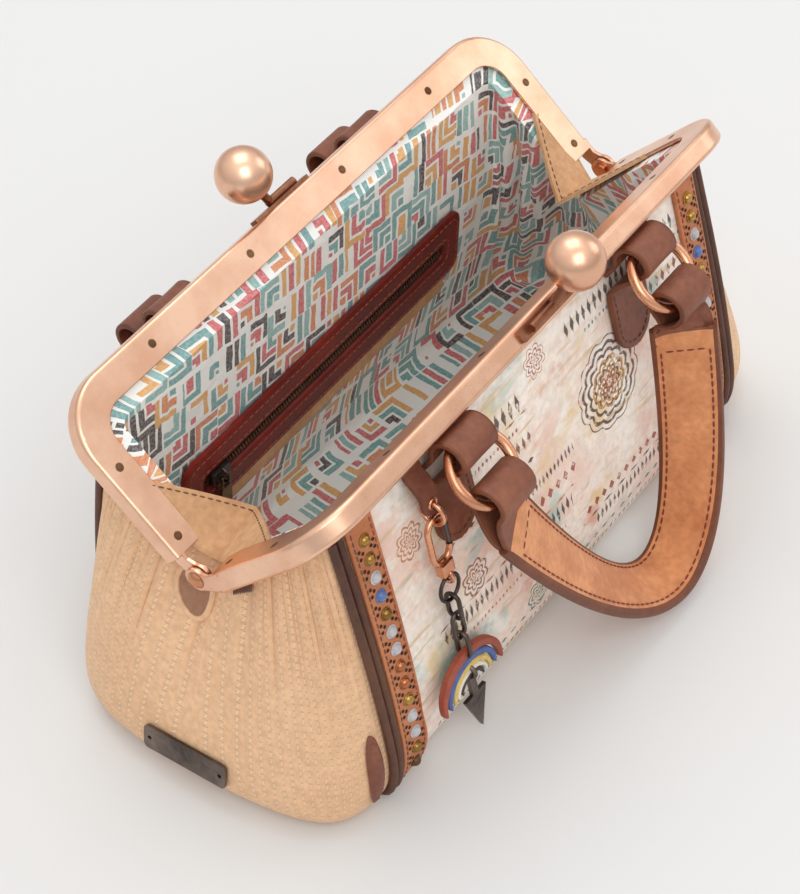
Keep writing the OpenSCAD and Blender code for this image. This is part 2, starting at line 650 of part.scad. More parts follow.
module turned(side) {
  rotate([0, 0, side == front ? 0 : 180]) children();
}
module bore_x(r) {
  rotate([0, 90, 0]) cylinder(r = r, h = 2 * tab_w, center = true);
}
module tab_outline() {
  mid = [tab_axis[1], tab_axis[2]];
  neck = mid[1] - tab_neck;
  low = mid[1] - tab_l;
  half = (neck + low) / 2;
  gap = leather_t / 2 + clear;
  translate(mid) circle(loop_r);
  polygon([mid + loop_r * [cos(tab_turn[0]), sin(tab_turn[0])], [front_y(neck) - gap - 2.2 * tab_t, neck],
           [front_y(half) - gap - 2 * tab_t, half], [front_y(low) - gap - 1.6 * tab_t, low],
           [front_y(low) - gap, low], [front_y(half) - gap, half], [front_y(neck) - gap, neck],
           mid + loop_r * [cos(tab_turn[1]), sin(tab_turn[1])]]);
}
module tab(side, end) {
  color(dark_leather) turned(side) translate([-side * end * ring_span / 2, 0, 0]) difference() {
    intersection() {
      rotate([90, 0, 90]) translate([0, 0, -tab_w / 2]) linear_extrude(tab_w) tab_outline();
      translate([0, 0, tab_axis[2]]) rotate([90, 0, 0]) linear_extrude(4 * base_d, center = true) union() {
        translate([-tab_w / 2, -tab_l + tab_w / 2]) square([tab_w, tab_l]);
        translate([0, -tab_l + tab_w / 2]) circle(tab_w / 2);
      }
    }
    translate(tab_axis) bore_x(loop_bore);
  }
}
module torus(r, wire) {
  rotate_extrude() translate([r, 0]) circle(d = wire);
}
module handle_ring(side, end) {
  color(metal) turned(side) translate([-side * end * ring_span / 2, 0, 0]) translate(tab_axis)
    rotate([ring_rest, 0, 0]) translate([0, -ring_arm, 0]) torus(ring_r, ring_wire);
}

// Handle: one cubic curve from loop to loop; the strap turns from flat on the panel to lying open below
tongue_l = 14;
strap_in = 1;
strap_out = 1.5;
strap_slant = 8;
strap_bulge = 31;
strap_a = [-ring_span / 2 + strap_in, loop_axis[1] - strap_out, loop_axis[2] - tongue_l];
strap_d = [ring_span / 2, strap_a[1], strap_a[2]];
strap_y = -base_d / 2 - strap_bulge;
strap_pull = (8 * strap_low - strap_a[2] - strap_d[2]) / 6;
strap_b = [ring_span / 22, strap_y, strap_pull + strap_slant];
strap_c = [ring_span * 26 / 55, strap_y, strap_pull - strap_slant];
strap_steps = 28;
end_lap = 0.4;
end_t = 0.6;
function strap_pt(t) = let(s = 1 - t) s * s * s * strap_a + 3 * s * s * t * strap_b + 3 * s * t * t * strap_c
                                     + t * t * t * strap_d;
strap_turn = [15, 126];
function strap_wide(t) = let(a = lerp(strap_turn[0], strap_turn[1], t)) [-cos(a), -sin(a), 0];
function strap_section(w, t) = let(c = t * 0.3, x = w / 2, y = t / 2)
  [[x, -y + c], [x, y - c], [x - c, y], [-x + c, y], [-x, y - c], [-x, -y + c], [-x + c, -y], [x - c, -y]];
module handle(side) {
  ts = [for (i = [0:strap_steps]) i / strap_steps];
  color(cognac) turned(side) sweep([for (t = ts) strap_pt(t)], [for (t = ts) strap_wide(t)],
                                   strap_section(strap_w, strap_t));
}
module strap_end(t) {
  at = strap_pt(t);
  along = unit(strap_pt(min(1, t + 0.01)) - strap_pt(max(0, t - 0.01)));
  w = unit(strap_wide(t) - along * (strap_wide(t) * along));
  n = cross(along, w);
  away = t < 0.5 ? -along : along;
  c = at + away * end_lap;
  multmatrix([[w[0], n[0], along[0], c[0]], [w[1], n[1], along[1], c[1]], [w[2], n[2], along[2], c[2]],
              [0, 0, 0, 1]])
    cube([tab_w, strap_t - 2 * end_lap, end_t], center = true);
}
module handle_loop(side, end) {
  own = -side * end;
  color(dark_leather) turned(side) difference() {
    union() {
      translate([own * ring_span / 2, 0, 0]) translate(loop_axis) rotate([0, 90, 0])
        cylinder(r = loop_r, h = tab_w, center = true);
      hull() {
        translate([own * ring_span / 2, 0, 0]) translate(loop_axis - [0, 0, loop_r * 0.7])
          cube([tab_w, loop_r, tab_t], center = true);
        strap_end(own < 0 ? 0 : 1);
      }
    }
    translate([own * ring_span / 2, 0, 0]) translate(loop_axis) bore_x(loop_bore);
  }
}

// Charm: hangs from its own small leather tab beside the left tab and lies along the front panel
charm_ring_r = 4.6;
charm_tab_r = 4.5;
charm_tab_t = 2;
charm_hole = 1.6;
charm_gap = 1.5;
charm_fall = 15;
charm_x = -ring_span / 2 - tab_w / 2 - charm_tab_r - charm_gap;
charm_z = tab_axis[2] - charm_fall;
charm_low = 10;
charm_lean = atan2(front_y(charm_low) - front_y(charm_z), charm_z - charm_low);
charm_off = charm_ring_r + link_wire / 2 + leather_t / 2 + panel_bulge * 0.3 + 2 * clear;
charm_at = [charm_x, front_y(charm_z) - charm_off, charm_z];
frame_low = jaw_pt(front, 0, jaw_reach - channel_w, -clear - channel_d)[2];
charm_leg = (frame_low - 2 * clear - charm_z) / cos(charm_lean);
link_r = link_wire * 1.5;
eye_r = link_wire * 1.45;
hook_r = 4.6;
hook_wire = 2.4;
hook_l = 10;
collar_l = 5;
collar_w = 6.4;
gate_gap = 0.6;
split_r = 5;
split_wire = 1.4;
nest = 0.25;
// Heights of the wires' middles below the tab's hole, from link to link
ring_low = -2 * charm_ring_r;
hook_top = ring_low + (link_wire + hook_wire) / 2 + nest;
hook_low = hook_top - 2 * hook_r - hook_l;
eye_mid = hook_low - collar_l - eye_r + link_wire / 2;
eye_low = eye_mid - eye_r;
split_top = eye_low + (link_wire + split_wire) / 2 + nest;
split_low = split_top - 2 * split_r;
link_step = 2 * link_r + link_l - link_wire - nest;
link_1_top = split_low + (split_wire + link_wire) / 2 + nest;
link_2_top = link_1_top - link_step;
link_3_top = link_2_top - link_step;
link_3_low = link_3_top - 2 * link_r - link_l;
arch_hole = link_wire + clear;
arch_rim = 3;
arch_c = link_3_low + arch_rim - arch_r;
arch_in = arch_r * 0.3;
arch_leg = 2.5;
drop_hang = arch_c + arch_in + arch_rim;
drop_t = 1.6;
drop_w = drop_h * 0.75;

module on_charm() {
  translate(charm_at) rotate([charm_lean, 0, 0]) children();
}
module charm_tab() {
  half = charm_tab_t / 2;
  reach = charm_off - leather_t / 2 - clear;
  color(dark_leather) on_charm() difference() {
    intersection() {
      translate([-charm_tab_r, 0, 0]) rotate([90, 0, 90]) linear_extrude(2 * charm_tab_r)
        polygon([[-half, -charm_tab_r], [half, -charm_tab_r], [half, charm_leg * 0.3],
                 [reach, charm_leg * 0.7], [reach, charm_leg],
                 [reach - charm_tab_t, charm_leg], [-half, charm_leg * 0.5]]);
      rotate([90, 0, 0]) linear_extrude(4 * charm_off, center = true) union() {
        circle(charm_tab_r);
        translate([-charm_tab_r, 0]) square([2 * charm_tab_r, 2 * charm_leg]);
      }
    }
    rotate([90, 0, 0]) cylinder(r = charm_hole, h = 4 * charm_tab_t, center = true);
  }
}
module charm_ring() {
  color(metal) on_charm() translate([0, 0, -charm_ring_r]) rotate([0, 90, 0]) torus(charm_ring_r, link_wire);
}
module half_ring(k, r, wire) {
  rotate([90, 0, 0]) rotate([0, 0, k * 180]) rotate_extrude(angle = 180) translate([r, 0]) circle(d = wire);
}
// A link's ends are half rings and its sides straight rods; turn sets its plane
module chain_link(top, turn) {
  color(metal) on_charm() translate([0, 0, top - link_r]) rotate([0, 0, turn]) {
    for (k = [0, 1]) translate([0, 0, -k * link_l]) half_ring(k, link_r, link_wire);
    for (s = [-1, 1]) translate([s * link_r, 0, -link_l]) cylinder(d = link_wire, h = link_l);
  }
}
module snap_hook() {
  color(metal) on_charm() {
    translate([0, 0, hook_top - hook_r]) half_ring(0, hook_r, hook_wire);
    translate([0, 0, hook_low + hook_r]) half_ring(1, hook_r, hook_wire);
    translate([-hook_r, 0, hook_low + hook_r]) cylinder(d = hook_wire, h = hook_l);
    translate([0, 0, hook_low - collar_l]) linear_extrude(collar_l) rounded(collar_w, hook_wire * 1.7, 1);
    translate([0, 0, eye_mid]) rotate([0, 90, 0]) torus(eye_r, link_wire);
  }
}
module snap_gate() {
  color("#7A5C4C") on_charm() translate([hook_r, 0, hook_low + hook_r + gate_gap])
    cylinder(d = hook_wire * 0.8, h = hook_l - 2 * gate_gap);
}
module split_ring() {
  color("#7A5C4C") on_charm() translate([0, 0, split_top - split_r]) rotate([90, 0, 0])
    torus(split_r, split_wire);
}
module charm_arch() {
  color("#8A3B2A") on_charm() translate([0, arch_t / 2, arch_c]) rotate([90, 0, 0])
    linear_extrude(arch_t) difference() {
      circle(arch_r);
      circle(arch_in);
      translate([-2 * arch_r, -4 * arch_r]) square([4 * arch_r, 4 * arch_r - arch_leg]);
      translate([0, link_3_low - arch_c]) circle(arch_hole);
      translate([0, drop_hang - arch_c]) circle(arch_hole);
    }
}
module charm_drop() {
  neck = drop_hang - 2 * link_r - arch_c + arch_in + 2 * clear;
  color("#6E5A4C") on_charm() translate([0, 0, drop_hang - link_r]) {
    rotate([0, 90, 0]) torus(link_r, link_wire);
    translate([0, drop_t / 2, -link_r]) rotate([90, 0, 0]) linear_extrude(drop_t) {
      polygon([[-drop_w / 2, -neck], [0, -neck - drop_h], [drop_w / 2, -neck]]);
      translate([-link_wire, -neck - 1]) square([2 * link_wire, neck + 1]);
    }
  }
}

base_panel();
base_piping();
panel(front);  // front_panel
panel(back);  // back_panel
gusset(left);  // gusset_left
gusset(right);  // gusset_right
lining();
strip(left);  // front_strip_left
strip(right);  // front_strip_right
studs(left);  // studs_left
studs(right);  // studs_right
piping(front, left);  // piping_front_left
piping(front, right);  // piping_front_right
piping(back, left);  // piping_back_left
piping(back, right);  // piping_back_right
pocket_frame();
pocket_zip();
zip_slider();
zip_pull();
hinge_facing(left);  // hinge_facing_left
hinge_facing(right);  // hinge_facing_right
gusset_plate();
gusset_patch();
place_jaw(front) jaw_frame();  // front_frame
place_jaw(front) clasp_arm();  // front_clasp_arm
place_jaw(front) clasp_ball();  // front_clasp_ball
place_jaw(front) jaw_rivets();  // front_rivets
place_jaw(front) hinge_rivet();  // front_hinge_rivet
place_jaw(back) jaw_frame();  // back_frame
place_jaw(back) clasp_arm();  // back_clasp_arm
place_jaw(back) clasp_ball();  // back_clasp_ball
place_jaw(back) jaw_rivets();  // back_rivets
place_jaw(back) hinge_rivet();  // back_hinge_rivet
for (s = [front, back]) place_jaw(s) hinge_washer();  // hinge_washers
tab(front, left);  // front_tab_left
tab(front, right);  // front_tab_right
handle_ring(front, left);  // front_ring_left
handle_ring(front, right);  // front_ring_right
handle(front);  // front_handle
handle_loop(front, left);  // front_loop_left
handle_loop(front, right);  // front_loop_right
tab(back, left);  // back_tab_left
tab(back, right);  // back_tab_right
handle_ring(back, left);  // back_ring_left
handle_ring(back, right);  // back_ring_right
handle(back);  // back_handle
handle_loop(back, left);  // back_loop_left
handle_loop(back, right);  // back_loop_right
charm_tab();
charm_ring();
snap_hook();
snap_gate();
split_ring();
chain_link(link_1_top, 90);  // chain_link_1
chain_link(link_2_top, 0);  // chain_link_2
chain_link(link_3_top, 90);  // chain_link_3
charm_arch();
charm_drop();
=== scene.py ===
# %% [markdown]
# # A frame handbag with a ball clasp
# The solids of the part come in as a fixed frame, in metres. The metal pieces stay as they are and get
# real finishes. The soft pieces are made again here: walls that are gathered into the frame, a printed
# lining, piping, studded strips, straps, stitches and a charm.

# %% Load the solids
import math
from contextlib import contextmanager
import bpy
import numpy as np
from mathutils import Matrix, Vector, noise


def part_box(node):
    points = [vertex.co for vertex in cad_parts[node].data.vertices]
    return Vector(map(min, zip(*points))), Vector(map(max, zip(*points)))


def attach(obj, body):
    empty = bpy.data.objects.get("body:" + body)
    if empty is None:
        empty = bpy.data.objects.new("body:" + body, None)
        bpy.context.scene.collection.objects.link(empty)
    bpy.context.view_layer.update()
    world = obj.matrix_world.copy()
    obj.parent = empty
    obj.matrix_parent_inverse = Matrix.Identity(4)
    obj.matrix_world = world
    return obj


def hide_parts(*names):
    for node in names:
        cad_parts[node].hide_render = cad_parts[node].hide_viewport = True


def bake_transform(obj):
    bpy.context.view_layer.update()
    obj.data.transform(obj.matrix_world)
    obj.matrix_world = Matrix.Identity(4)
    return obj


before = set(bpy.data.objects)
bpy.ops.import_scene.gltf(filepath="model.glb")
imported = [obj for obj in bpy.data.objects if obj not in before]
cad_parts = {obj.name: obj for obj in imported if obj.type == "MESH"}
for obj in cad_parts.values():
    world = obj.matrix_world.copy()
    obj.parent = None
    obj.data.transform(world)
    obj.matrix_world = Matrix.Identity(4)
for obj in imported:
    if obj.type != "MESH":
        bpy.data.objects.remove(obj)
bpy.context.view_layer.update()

scene = bpy.context.scene
bpy.ops.object.select_all(action="DESELECT")

# %% [markdown]
# ## Camera, floor and light
# The bag is seen from the left, from above, through a long lens. The lens and the place come from a
# perspective fit of the frame and the base. A camera could be turned by hand until it looks right, but
# the three axes of the fit go straight into its matrix, so nothing has to be guessed.

# %% Camera
bpy.ops.object.camera_add()
camera = bpy.context.object
camera.name = "photo_camera"
camera.data.lens = 100.67
camera.data.sensor_width = 36
right_axis = Vector((0.58172, -0.81073, -0.06572))
up_axis = Vector((0.60493, 0.37721, 0.70126))
back_axis = Vector((-0.54374, -0.44769, 0.70987))
place = Vector((-0.5037, -0.4031, 0.6956))
camera.matrix_world = Matrix((right_axis, up_axis, back_axis)).transposed().to_4x4()
camera.location = place
scene.camera = camera
scene.view_settings.view_transform = "Standard"
print("camera at", [round(x, 3) for x in place])


# %% [markdown]
# Colours are written as sRGB hex values, the way they are read off a picture. Shaders work in linear
# light, so one function turns them over. One more small function adds a node, sets it and links it, which
# keeps each material short enough to read.

# %% Colour and node helpers
def linear(hex_code):
    parts = [int(hex_code[i:i + 2], 16) / 255 for i in (1, 3, 5)]
    return tuple(c / 12.92 if c <= 0.04045 else ((c + 0.055) / 1.055) ** 2.4 for c in parts) + (1.0,)


def plug(node, inputs):
    """Fill sockets of a node: with a number, a socket, or the main output of another node."""
    for name, value in inputs.items():
        if isinstance(value, bpy.types.Node):
            value = next(socket for socket in value.outputs if socket.enabled)
        if isinstance(value, bpy.types.NodeSocket):
            node.id_data.links.new(value, node.inputs[name])
        else:
            node.inputs[name].default_value = value


def add(tree, kind, inputs=None, **settings):
    made = tree.nodes.new("ShaderNode" + kind)
    for name, value in settings.items():
        setattr(made, name, value)
    plug(made, inputs or {})
    return made


def new_material(name):
    finish = bpy.data.materials.new(name)
    finish.use_nodes = True
    return finish, finish.node_tree, finish.node_tree.nodes["Principled BSDF"]


def primitive(name, operator, **settings):
    """A primitive to start a piece from, with nothing else selected."""
    bpy.ops.object.select_all(action="DESELECT")
    operator(**settings)
    piece = bpy.context.object
    piece.name = piece.data.name = name
    return piece


print("white is", linear("#FFFFFF"))

# %% [markdown]
# The floor is a sheet of matt paper, an even pale tone that takes the shadow and shows no highlight. Three
# large softboxes light the bag. The world fills the shadows, and to glossy surfaces it is darker low down
# than overhead, as a studio is, so that metal shows a gradient and not one flat tone.

# %% Floor
floor_finish, tree, shader = new_material("pale_paper_sweep")
plug(shader, {"Base Color": linear("#E2E2E1"), "Roughness": 0.9, "Specular IOR Level": 0.1})
floor = primitive("floor", bpy.ops.mesh.primitive_plane_add, size=14)
floor.data.materials.append(floor_finish)
print("floor laid")

# %% Studio light
fill_light, backdrop, gloss_low, gloss_high = 0.78, 0.86, 0.4, 1.1
world = bpy.data.worlds.new("studio")
scene.world = world
world.use_nodes = True
tree = world.node_tree
ray = add(tree, "LightPath")
gaze = add(tree, "SeparateXYZ", {0: add(tree, "TexCoord").outputs["Generated"]})
hood = add(tree, "MapRange", {"Value": gaze.outputs["Z"], "From Min": -0.1, "From Max": 0.9,
                              "To Min": gloss_low, "To Max": gloss_high})
shiny = add(tree, "Mix", {0: ray.outputs["Is Glossy Ray"], 2: fill_light, 3: hood}, data_type="FLOAT")
level = add(tree, "Mix", {0: ray.outputs["Is Camera Ray"], 2: shiny, 3: backdrop}, data_type="FLOAT")
plug(tree.nodes["Background"], {"Color": (1, 1, 1, 1), "Strength": level})

lit_point = Vector((0, 0, 0.06))
softboxes = [("key", (-1.0, -1.3, 1.9), 1.5, 15.0), ("top", (0.5, 0.6, 2.2), 1.6, 13.0),
             ("side", (1.7, -0.9, 0.9), 1.0, 4.0)]
for name, spot, size, power in softboxes:
    bpy.ops.object.light_add(type="AREA", location=spot)
    lamp = bpy.context.object
    lamp.name = name
    lamp.data.size = size
    lamp.data.energy = power
    lamp.rotation_euler = (lit_point - Vector(spot)).to_track_quat("-Z", "Y").to_euler()
print("lights:", len(softboxes))

# %% [markdown]
# ## The shape of the walls
# Each wall runs from the edge of the base up into the channel of a jaw. The walls are ruled from base to
# mouth and puffed out a little, and the same few functions as in the solids give every point, so all that
# is sewn on a wall can ask for its place. Lengths here are in millimetres. On a wall, v runs from 0 at the
# base to 1 at the mouth, t from -1 to 1 along a panel, and s from -1 to 1 round an end.

# %% Driving sizes
MM = 0.001
FRONT, BACK, LEFT, RIGHT = -1, 1, -1, 1
SIDES, ENDS = ((FRONT, "front"), (BACK, "back")), ((LEFT, "left"), (RIGHT, "right"))
pivot_h, opening = 90.0, math.radians(46)
sin_a, cos_a = math.sin(opening), math.cos(opening)
frame_w, jaw_reach, corner_r, arm_start = 250.0, 72.5, 22.0, 9.0
# Leather and cotton lie at these depths in the channel, and are held between these distances from its rim
panel_n, lining_n, mouth_e, grip_e = -5.6, -2.6, 14.7, 7.0
base_l, base_d, wall_z, panel_w, dip_z = 288.0, 126.0, 3.3, 220.0, 84.0
leather_t, roll_in, roll_up = 2.0, 8.0, 0.2
# How far the walls puff out at the hinge, at a seam and on a panel, and how low the fullest part lies
hinge_puff, seam_puff, panel_puff, sag = 7.0, 3.0, 3.0, 0.8
end_round, dip_share = 0.6, 0.2
print("bag", base_l, "by", base_d, "mm, frame", frame_w, "mm")


# %% Curves of the frame
def lerp(a, b, t):
    return a + (b - a) * t


def smooth(t):
    t = min(max(t, 0.0), 1.0)
    return t * t * (3 - 2 * t)


def spow(x, p):
    return math.copysign(abs(x) ** p, x)


def unit(a):
    return a / np.linalg.norm(a)


def jaw_pt(side, x, u, n):
    return np.array([x, side * (u * sin_a - n * cos_a), pivot_h + u * cos_a + n * sin_a])


def side_path(q, e):
    arm, r = jaw_reach - corner_r - arm_start, corner_r - e
    d = q * (arm + r * opening)
    if d <= arm:
        return frame_w / 2 - e, arm_start + d
    a = (d - arm) / r
    return frame_w / 2 - corner_r + r * math.cos(a), jaw_reach - corner_r + r * math.sin(a)


def bar_path(t, e):
    bar, r = frame_w / 2 - corner_r, corner_r - e
    d = t * (bar + r * (math.pi / 2 - opening))
    if d <= bar:
        return d, jaw_reach - e
    a = (d - bar) / r
    return bar + r * math.sin(a), jaw_reach - corner_r + r * math.cos(a)


print("the bar ends", round(bar_path(1, 0)[0], 1), "mm from the middle")


# %% Points on the walls
def mouth_at(n):
    return mouth_e + n - panel_n


def puff(v, bulge):
    return bulge * math.sin(math.pi * max(v, 0) ** sag)


def tuck(v):
    """How far a wall rolls under at the base."""
    return roll_in * (1 - math.sqrt(1 - (1 - min(max(v / roll_up, 0.0), 1.0)) ** 2))


def end_pt(s, end, inset):
    a = math.radians(90 * s)
    reach = base_l / 2 - inset - panel_w / 2
    return np.array([end * (panel_w / 2 + reach * spow(math.cos(a), end_round)),
                     (base_d / 2 - inset) * spow(math.sin(a), end_round), wall_z + inset])


def end_out(s, end):
    return unit(np.array([end * (1.05 - abs(s)), 1.1 * s, 0.0]))


def rim_end(s, end, e, n):
    x, u = side_path(abs(s), e)
    held = jaw_pt(FRONT if s < 0 else BACK, end * x, u, n)
    dip = np.array([end * (frame_w / 2 - mouth_at(n)), 0, dip_z + (mouth_at(n) - e) / 5])
    return lerp(dip, held, smooth(abs(s) / dip_share))


def gusset_pt(s, end, v, inset=0.0, n=panel_n, bulge=None):
    bulge = lerp(hinge_puff, seam_puff, abs(s)) if bulge is None else bulge
    ruled = lerp(end_pt(s, end, inset), rim_end(s, end, mouth_at(n), n), v)
    return ruled + end_out(s, end) * (puff(v, bulge) - tuck(v))


def rim_panel(t, side, e, n):
    x, u = bar_path(abs(t), e)
    return jaw_pt(side, math.copysign(x, t), u, n)


def panel_pt(t, side, v, inset=0.0, n=panel_n, bulge=panel_puff):
    low = np.array([t * panel_w / 2, side * (base_d / 2 - inset), wall_z + inset])
    ruled = lerp(low, rim_panel(t, side, mouth_at(n), n), v)
    return ruled + np.array([0, side * (puff(v, bulge) - tuck(v)), 0])


print("front wall rim", panel_pt(0, FRONT, 1).round(2))


# %% [markdown]
# ## Helpers for soft pieces
# A sheet starts as a grid primitive with as many cells as its folds need. Its corners are then laid on
# the wall, its UV map is measured in millimetres, and a Solidify modifier gives it the thickness of real
# leather or cloth. A box with cuts would show straight facets, so the grid is the better start.

# %% Selecting, shaping and shading
def only(piece):
    bpy.ops.object.select_all(action="DESELECT")
    piece.select_set(True)
    bpy.context.view_layer.objects.active = piece


@contextmanager
def shaping(piece):
    """Edit mode, with all of the piece selected."""
    only(piece)
    bpy.ops.object.mode_set(mode="EDIT")
    bpy.ops.mesh.select_all(action="SELECT")
    yield
    bpy.ops.object.mode_set(mode="OBJECT")


def apply_modifier(piece, kind, **settings):
    only(piece)
    made = piece.modifiers.new(kind.lower(), kind)
    for name, value in settings.items():
        setattr(made, name, value)
    bpy.ops.object.modifier_apply(modifier=made.name)


def smooth_shade(piece, degrees=40):
    only(piece)
    bpy.ops.object.shade_smooth_by_angle(angle=math.radians(degrees))


print("pieces are shaped in edit mode and shaded smooth")


# %% Measuring paths and grids of points
def run_along(path):
    steps = np.linalg.norm(np.diff(path, axis=0), axis=1)
    return np.concatenate([[0], np.cumsum(steps)])


def at_run(values, run, d):
    return np.array([np.interp(d, run, values[:, i]) for i in range(3)])


def directions(path):
    ways = np.gradient(path, axis=0)
    return ways / np.linalg.norm(ways, axis=1, keepdims=True)


def grid_normals(points, outward):
    across, along = np.gradient(points, axis=1), np.gradient(points, axis=0)
    normals = np.cross(across, along)
    normals /= np.linalg.norm(normals, axis=2, keepdims=True) + 1e-9
    return normals if (normals * outward).sum() > 0 else -normals


def run_lengths(points, axis):
    steps = np.linalg.norm(np.diff(points, axis=axis), axis=2)
    pad = [(0, 0), (0, 0)]
    pad[axis] = (1, 0)
    return np.cumsum(np.pad(steps, pad), axis=axis)


def grid_uv(across, points):
    """Millimetres across, as given, and millimetres up, as measured."""
    return np.dstack([np.broadcast_to(across, points.shape[:2]), run_lengths(points, 0)])


def grid_area(points):
    a = points[1:, 1:] - points[:-1, :-1]
    b = points[1:, :-1] - points[:-1, 1:]
    return float(np.linalg.norm(np.cross(a, b), axis=2).sum() / 2) * MM ** 2


print("a path of two steps runs", run_along(np.eye(3)).round(2))


# %% Sheets
def lay_uv(mesh, layer, uv):
    corner = np.zeros(len(mesh.loops), int)
    mesh.loops.foreach_get("vertex_index", corner)
    layer.data.foreach_set("uv", np.asarray(uv).reshape(-1, 2)[corner].astype(np.float32).ravel())


def sheet_piece(name, points, uv, outward, thick, offset=0.0):
    """A sheet through a grid of points, with its outer face towards outward."""
    rows, cols = points.shape[:2]
    piece = primitive(name, bpy.ops.mesh.primitive_grid_add, x_subdivisions=cols - 1,
                      y_subdivisions=rows - 1, size=1)
    mesh = piece.data
    mesh.vertices.foreach_set("co", (points.reshape(-1, 3) * MM).ravel())
    lay_uv(mesh, mesh.uv_layers.active, uv)
    mesh.update()
    normals = np.zeros(len(mesh.polygons) * 3)
    mesh.polygons.foreach_get("normal", normals)
    with shaping(piece):
        if (normals.reshape(-1, 3) * outward).sum() < 0:
            bpy.ops.mesh.flip_normals()
        bpy.ops.mesh.remove_doubles(threshold=1e-6)
    apply_modifier(piece, "SOLIDIFY", thickness=thick * MM, offset=offset, use_even_offset=False)
    smooth_shade(piece)
    return piece


def declare_cloth(piece, points):
    print(piece.name, "flat area", round(grid_area(points), 4), "faces", len(piece.data.polygons))


# %% [markdown]
# Straps, cords and rims have one cross-section along a path, so they are skinned over a row of rings. A
# curve with a bevel could do this too, but a strap needs a painted edge in another finish, and the ring
# tells which faces are the edge.

# %% Skins over rings
def mesh_piece(name, points, faces, ids):
    mesh = bpy.data.meshes.new(name)
    mesh.from_pydata(points.tolist(), [], faces)
    mesh.polygons.foreach_set("material_index", ids)
    piece = bpy.data.objects.new(name, mesh)
    scene.collection.objects.link(piece)
    return piece


def loft(name, rings, uv_rings=None, closed_ends=True, edge_index=()):
    """A skin over rings of equal count; faces that start at edge_index get the second finish."""
    count, per = len(rings), len(rings[0])
    faces, ids = [], []
    for i in range(count - 1):
        for j in range(per):
            k = (j + 1) % per
            faces.append((i * per + j, i * per + k, (i + 1) * per + k, (i + 1) * per + j))
            ids.append(int(j in edge_index))
    if closed_ends:
        faces += [tuple(reversed(range(per))), tuple(range((count - 1) * per, count * per))]
        ids += [int(len(edge_index) > 0)] * 2
    piece = mesh_piece(name, np.asarray(rings).reshape(-1, 3) * MM, faces, ids)
    if uv_rings is not None:
        lay_uv(piece.data, piece.data.uv_layers.new(name="UVMap"), uv_rings)
    with shaping(piece):
        bpy.ops.mesh.normals_make_consistent(inside=False)
    smooth_shade(piece)
    return piece


def tube(name, path, radius, sides=12):
    path = np.asarray(path, float)
    run = run_along(path)
    turns = [2 * math.pi * k / sides for k in range(sides)]
    rings, flats, hold = [], [], np.array([1.0, 0.02, 0.01])
    for p, way, d in zip(path, directions(path), run):
        hold = unit(hold - way * hold.dot(way))
        side = np.cross(way, hold)
        rings.append([p + radius * (math.cos(a) * hold + math.sin(a) * side) for a in turns])
        flats.append([(a * radius, d) for a in turns])
    return loft(name, rings, flats)


def band(name, path, wides, widths, thick, round_edge=0.35, crown=0.0, lip=False):
    """A strap along a path, with its width direction, width and thickness at each point."""
    path, wides, thicks = np.asarray(path, float), np.asarray(wides, float), np.broadcast_to(thick, len(path))
    across, soften = [-1, -0.95, -0.7, -0.35, 0, 0.35, 0.7, 0.95, 1], 0.3
    rings, flats = [], []
    for p, way, wide, width, deep, d in zip(path, directions(path), wides, widths, thicks, run_along(path)):
        wide = unit(wide - way * wide.dot(way))
        face = np.cross(way, wide)
        half, top = width / 2, deep / 2
        c = min(deep * round_edge, half / 2)
        upper = [(f * (half - c), top + crown * (1 - f * f)) for f in across]
        edge = [(half - c * soften, top - c * soften), (half, top - c), (half, c - top),
                (half - c * soften, c * soften - top)]
        outline = upper + edge + [(-a, -b) for a, b in upper + edge]
        rings.append([p + wide * a + face * b for a, b in outline])
        flats.append([(a, d) for a, b in outline])
    n, turn = len(across), len(across) + len(edge)
    edges = {*range(n - 1, turn), *range(turn + n - 1, 2 * turn)}
    lips = {0, n - 2, turn, turn + n - 2} if lip else set()
    return loft(name, rings, flats, edge_index=edges | lips)


print("skins are made over rings")


# %% [markdown]
# What repeats, such as stitches, studs and teeth, is modelled once and copied to many places in one mesh.
# Every piece then gets its finish. Pieces that go with a wall only have their place baked into the mesh;
# the others are hung on their body.

# %% Copies, places and bodies
def copies(name, pattern, places, ids=None):
    """One mesh with a copy of the pattern at each 4 by 4 place."""
    base = np.array([v.co for v in pattern.data.vertices])
    cells = [tuple(p.vertices) for p in pattern.data.polygons]
    points, faces, marks = [], [], []
    for k, place in enumerate(places):
        points.append(base @ place[:3, :3].T + place[:3, 3])
        faces += [tuple(k * len(base) + i for i in cell) for cell in cells]
        marks += [ids[k] if ids else 0] * len(cells)
    piece = mesh_piece(name, np.concatenate(points), faces, marks)
    smooth_shade(piece)
    return piece


def frame_at(p, along, out, size):
    """A place in metres: x along, z out, each scaled by size in millimetres."""
    along = unit(np.asarray(along, float))
    out = unit(out - along * np.dot(out, along))
    place = np.eye(4)
    for i, (axis, length) in enumerate(zip((along, np.cross(out, along), out), size)):
        place[:3, i] = axis * length * MM
    place[:3, 3] = np.asarray(p) * MM
    return place


def settle(piece, finishes, slot, body, *nodes):
    """Finish and body; the slot is not used. A piece for front_wall or back_wall gets no body, only its place
    baked into its mesh.
    """
    for finish in finishes if isinstance(finishes, list) else [finishes]:
        piece.data.materials.append(finish)
    if nodes:
        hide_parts(*nodes)
    if body.endswith("_wall"):
        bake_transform(piece)
    else:
        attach(piece, body)
    return piece


# %% [markdown]
# A stitch is a short, thick thread that dips into the leather at both ends. It is modelled once, from a
# small sphere with its poles laid along the seam, and drawn out and flattened where it is copied.

# %% The stitch
stitch = primitive("stitch_pattern", bpy.ops.mesh.primitive_uv_sphere_add, segments=8, ring_count=6,
                   radius=0.5)
with shaping(stitch):
    bpy.ops.transform.rotate(value=math.pi / 2, orient_axis="Y", center_override=(0, 0, 0))


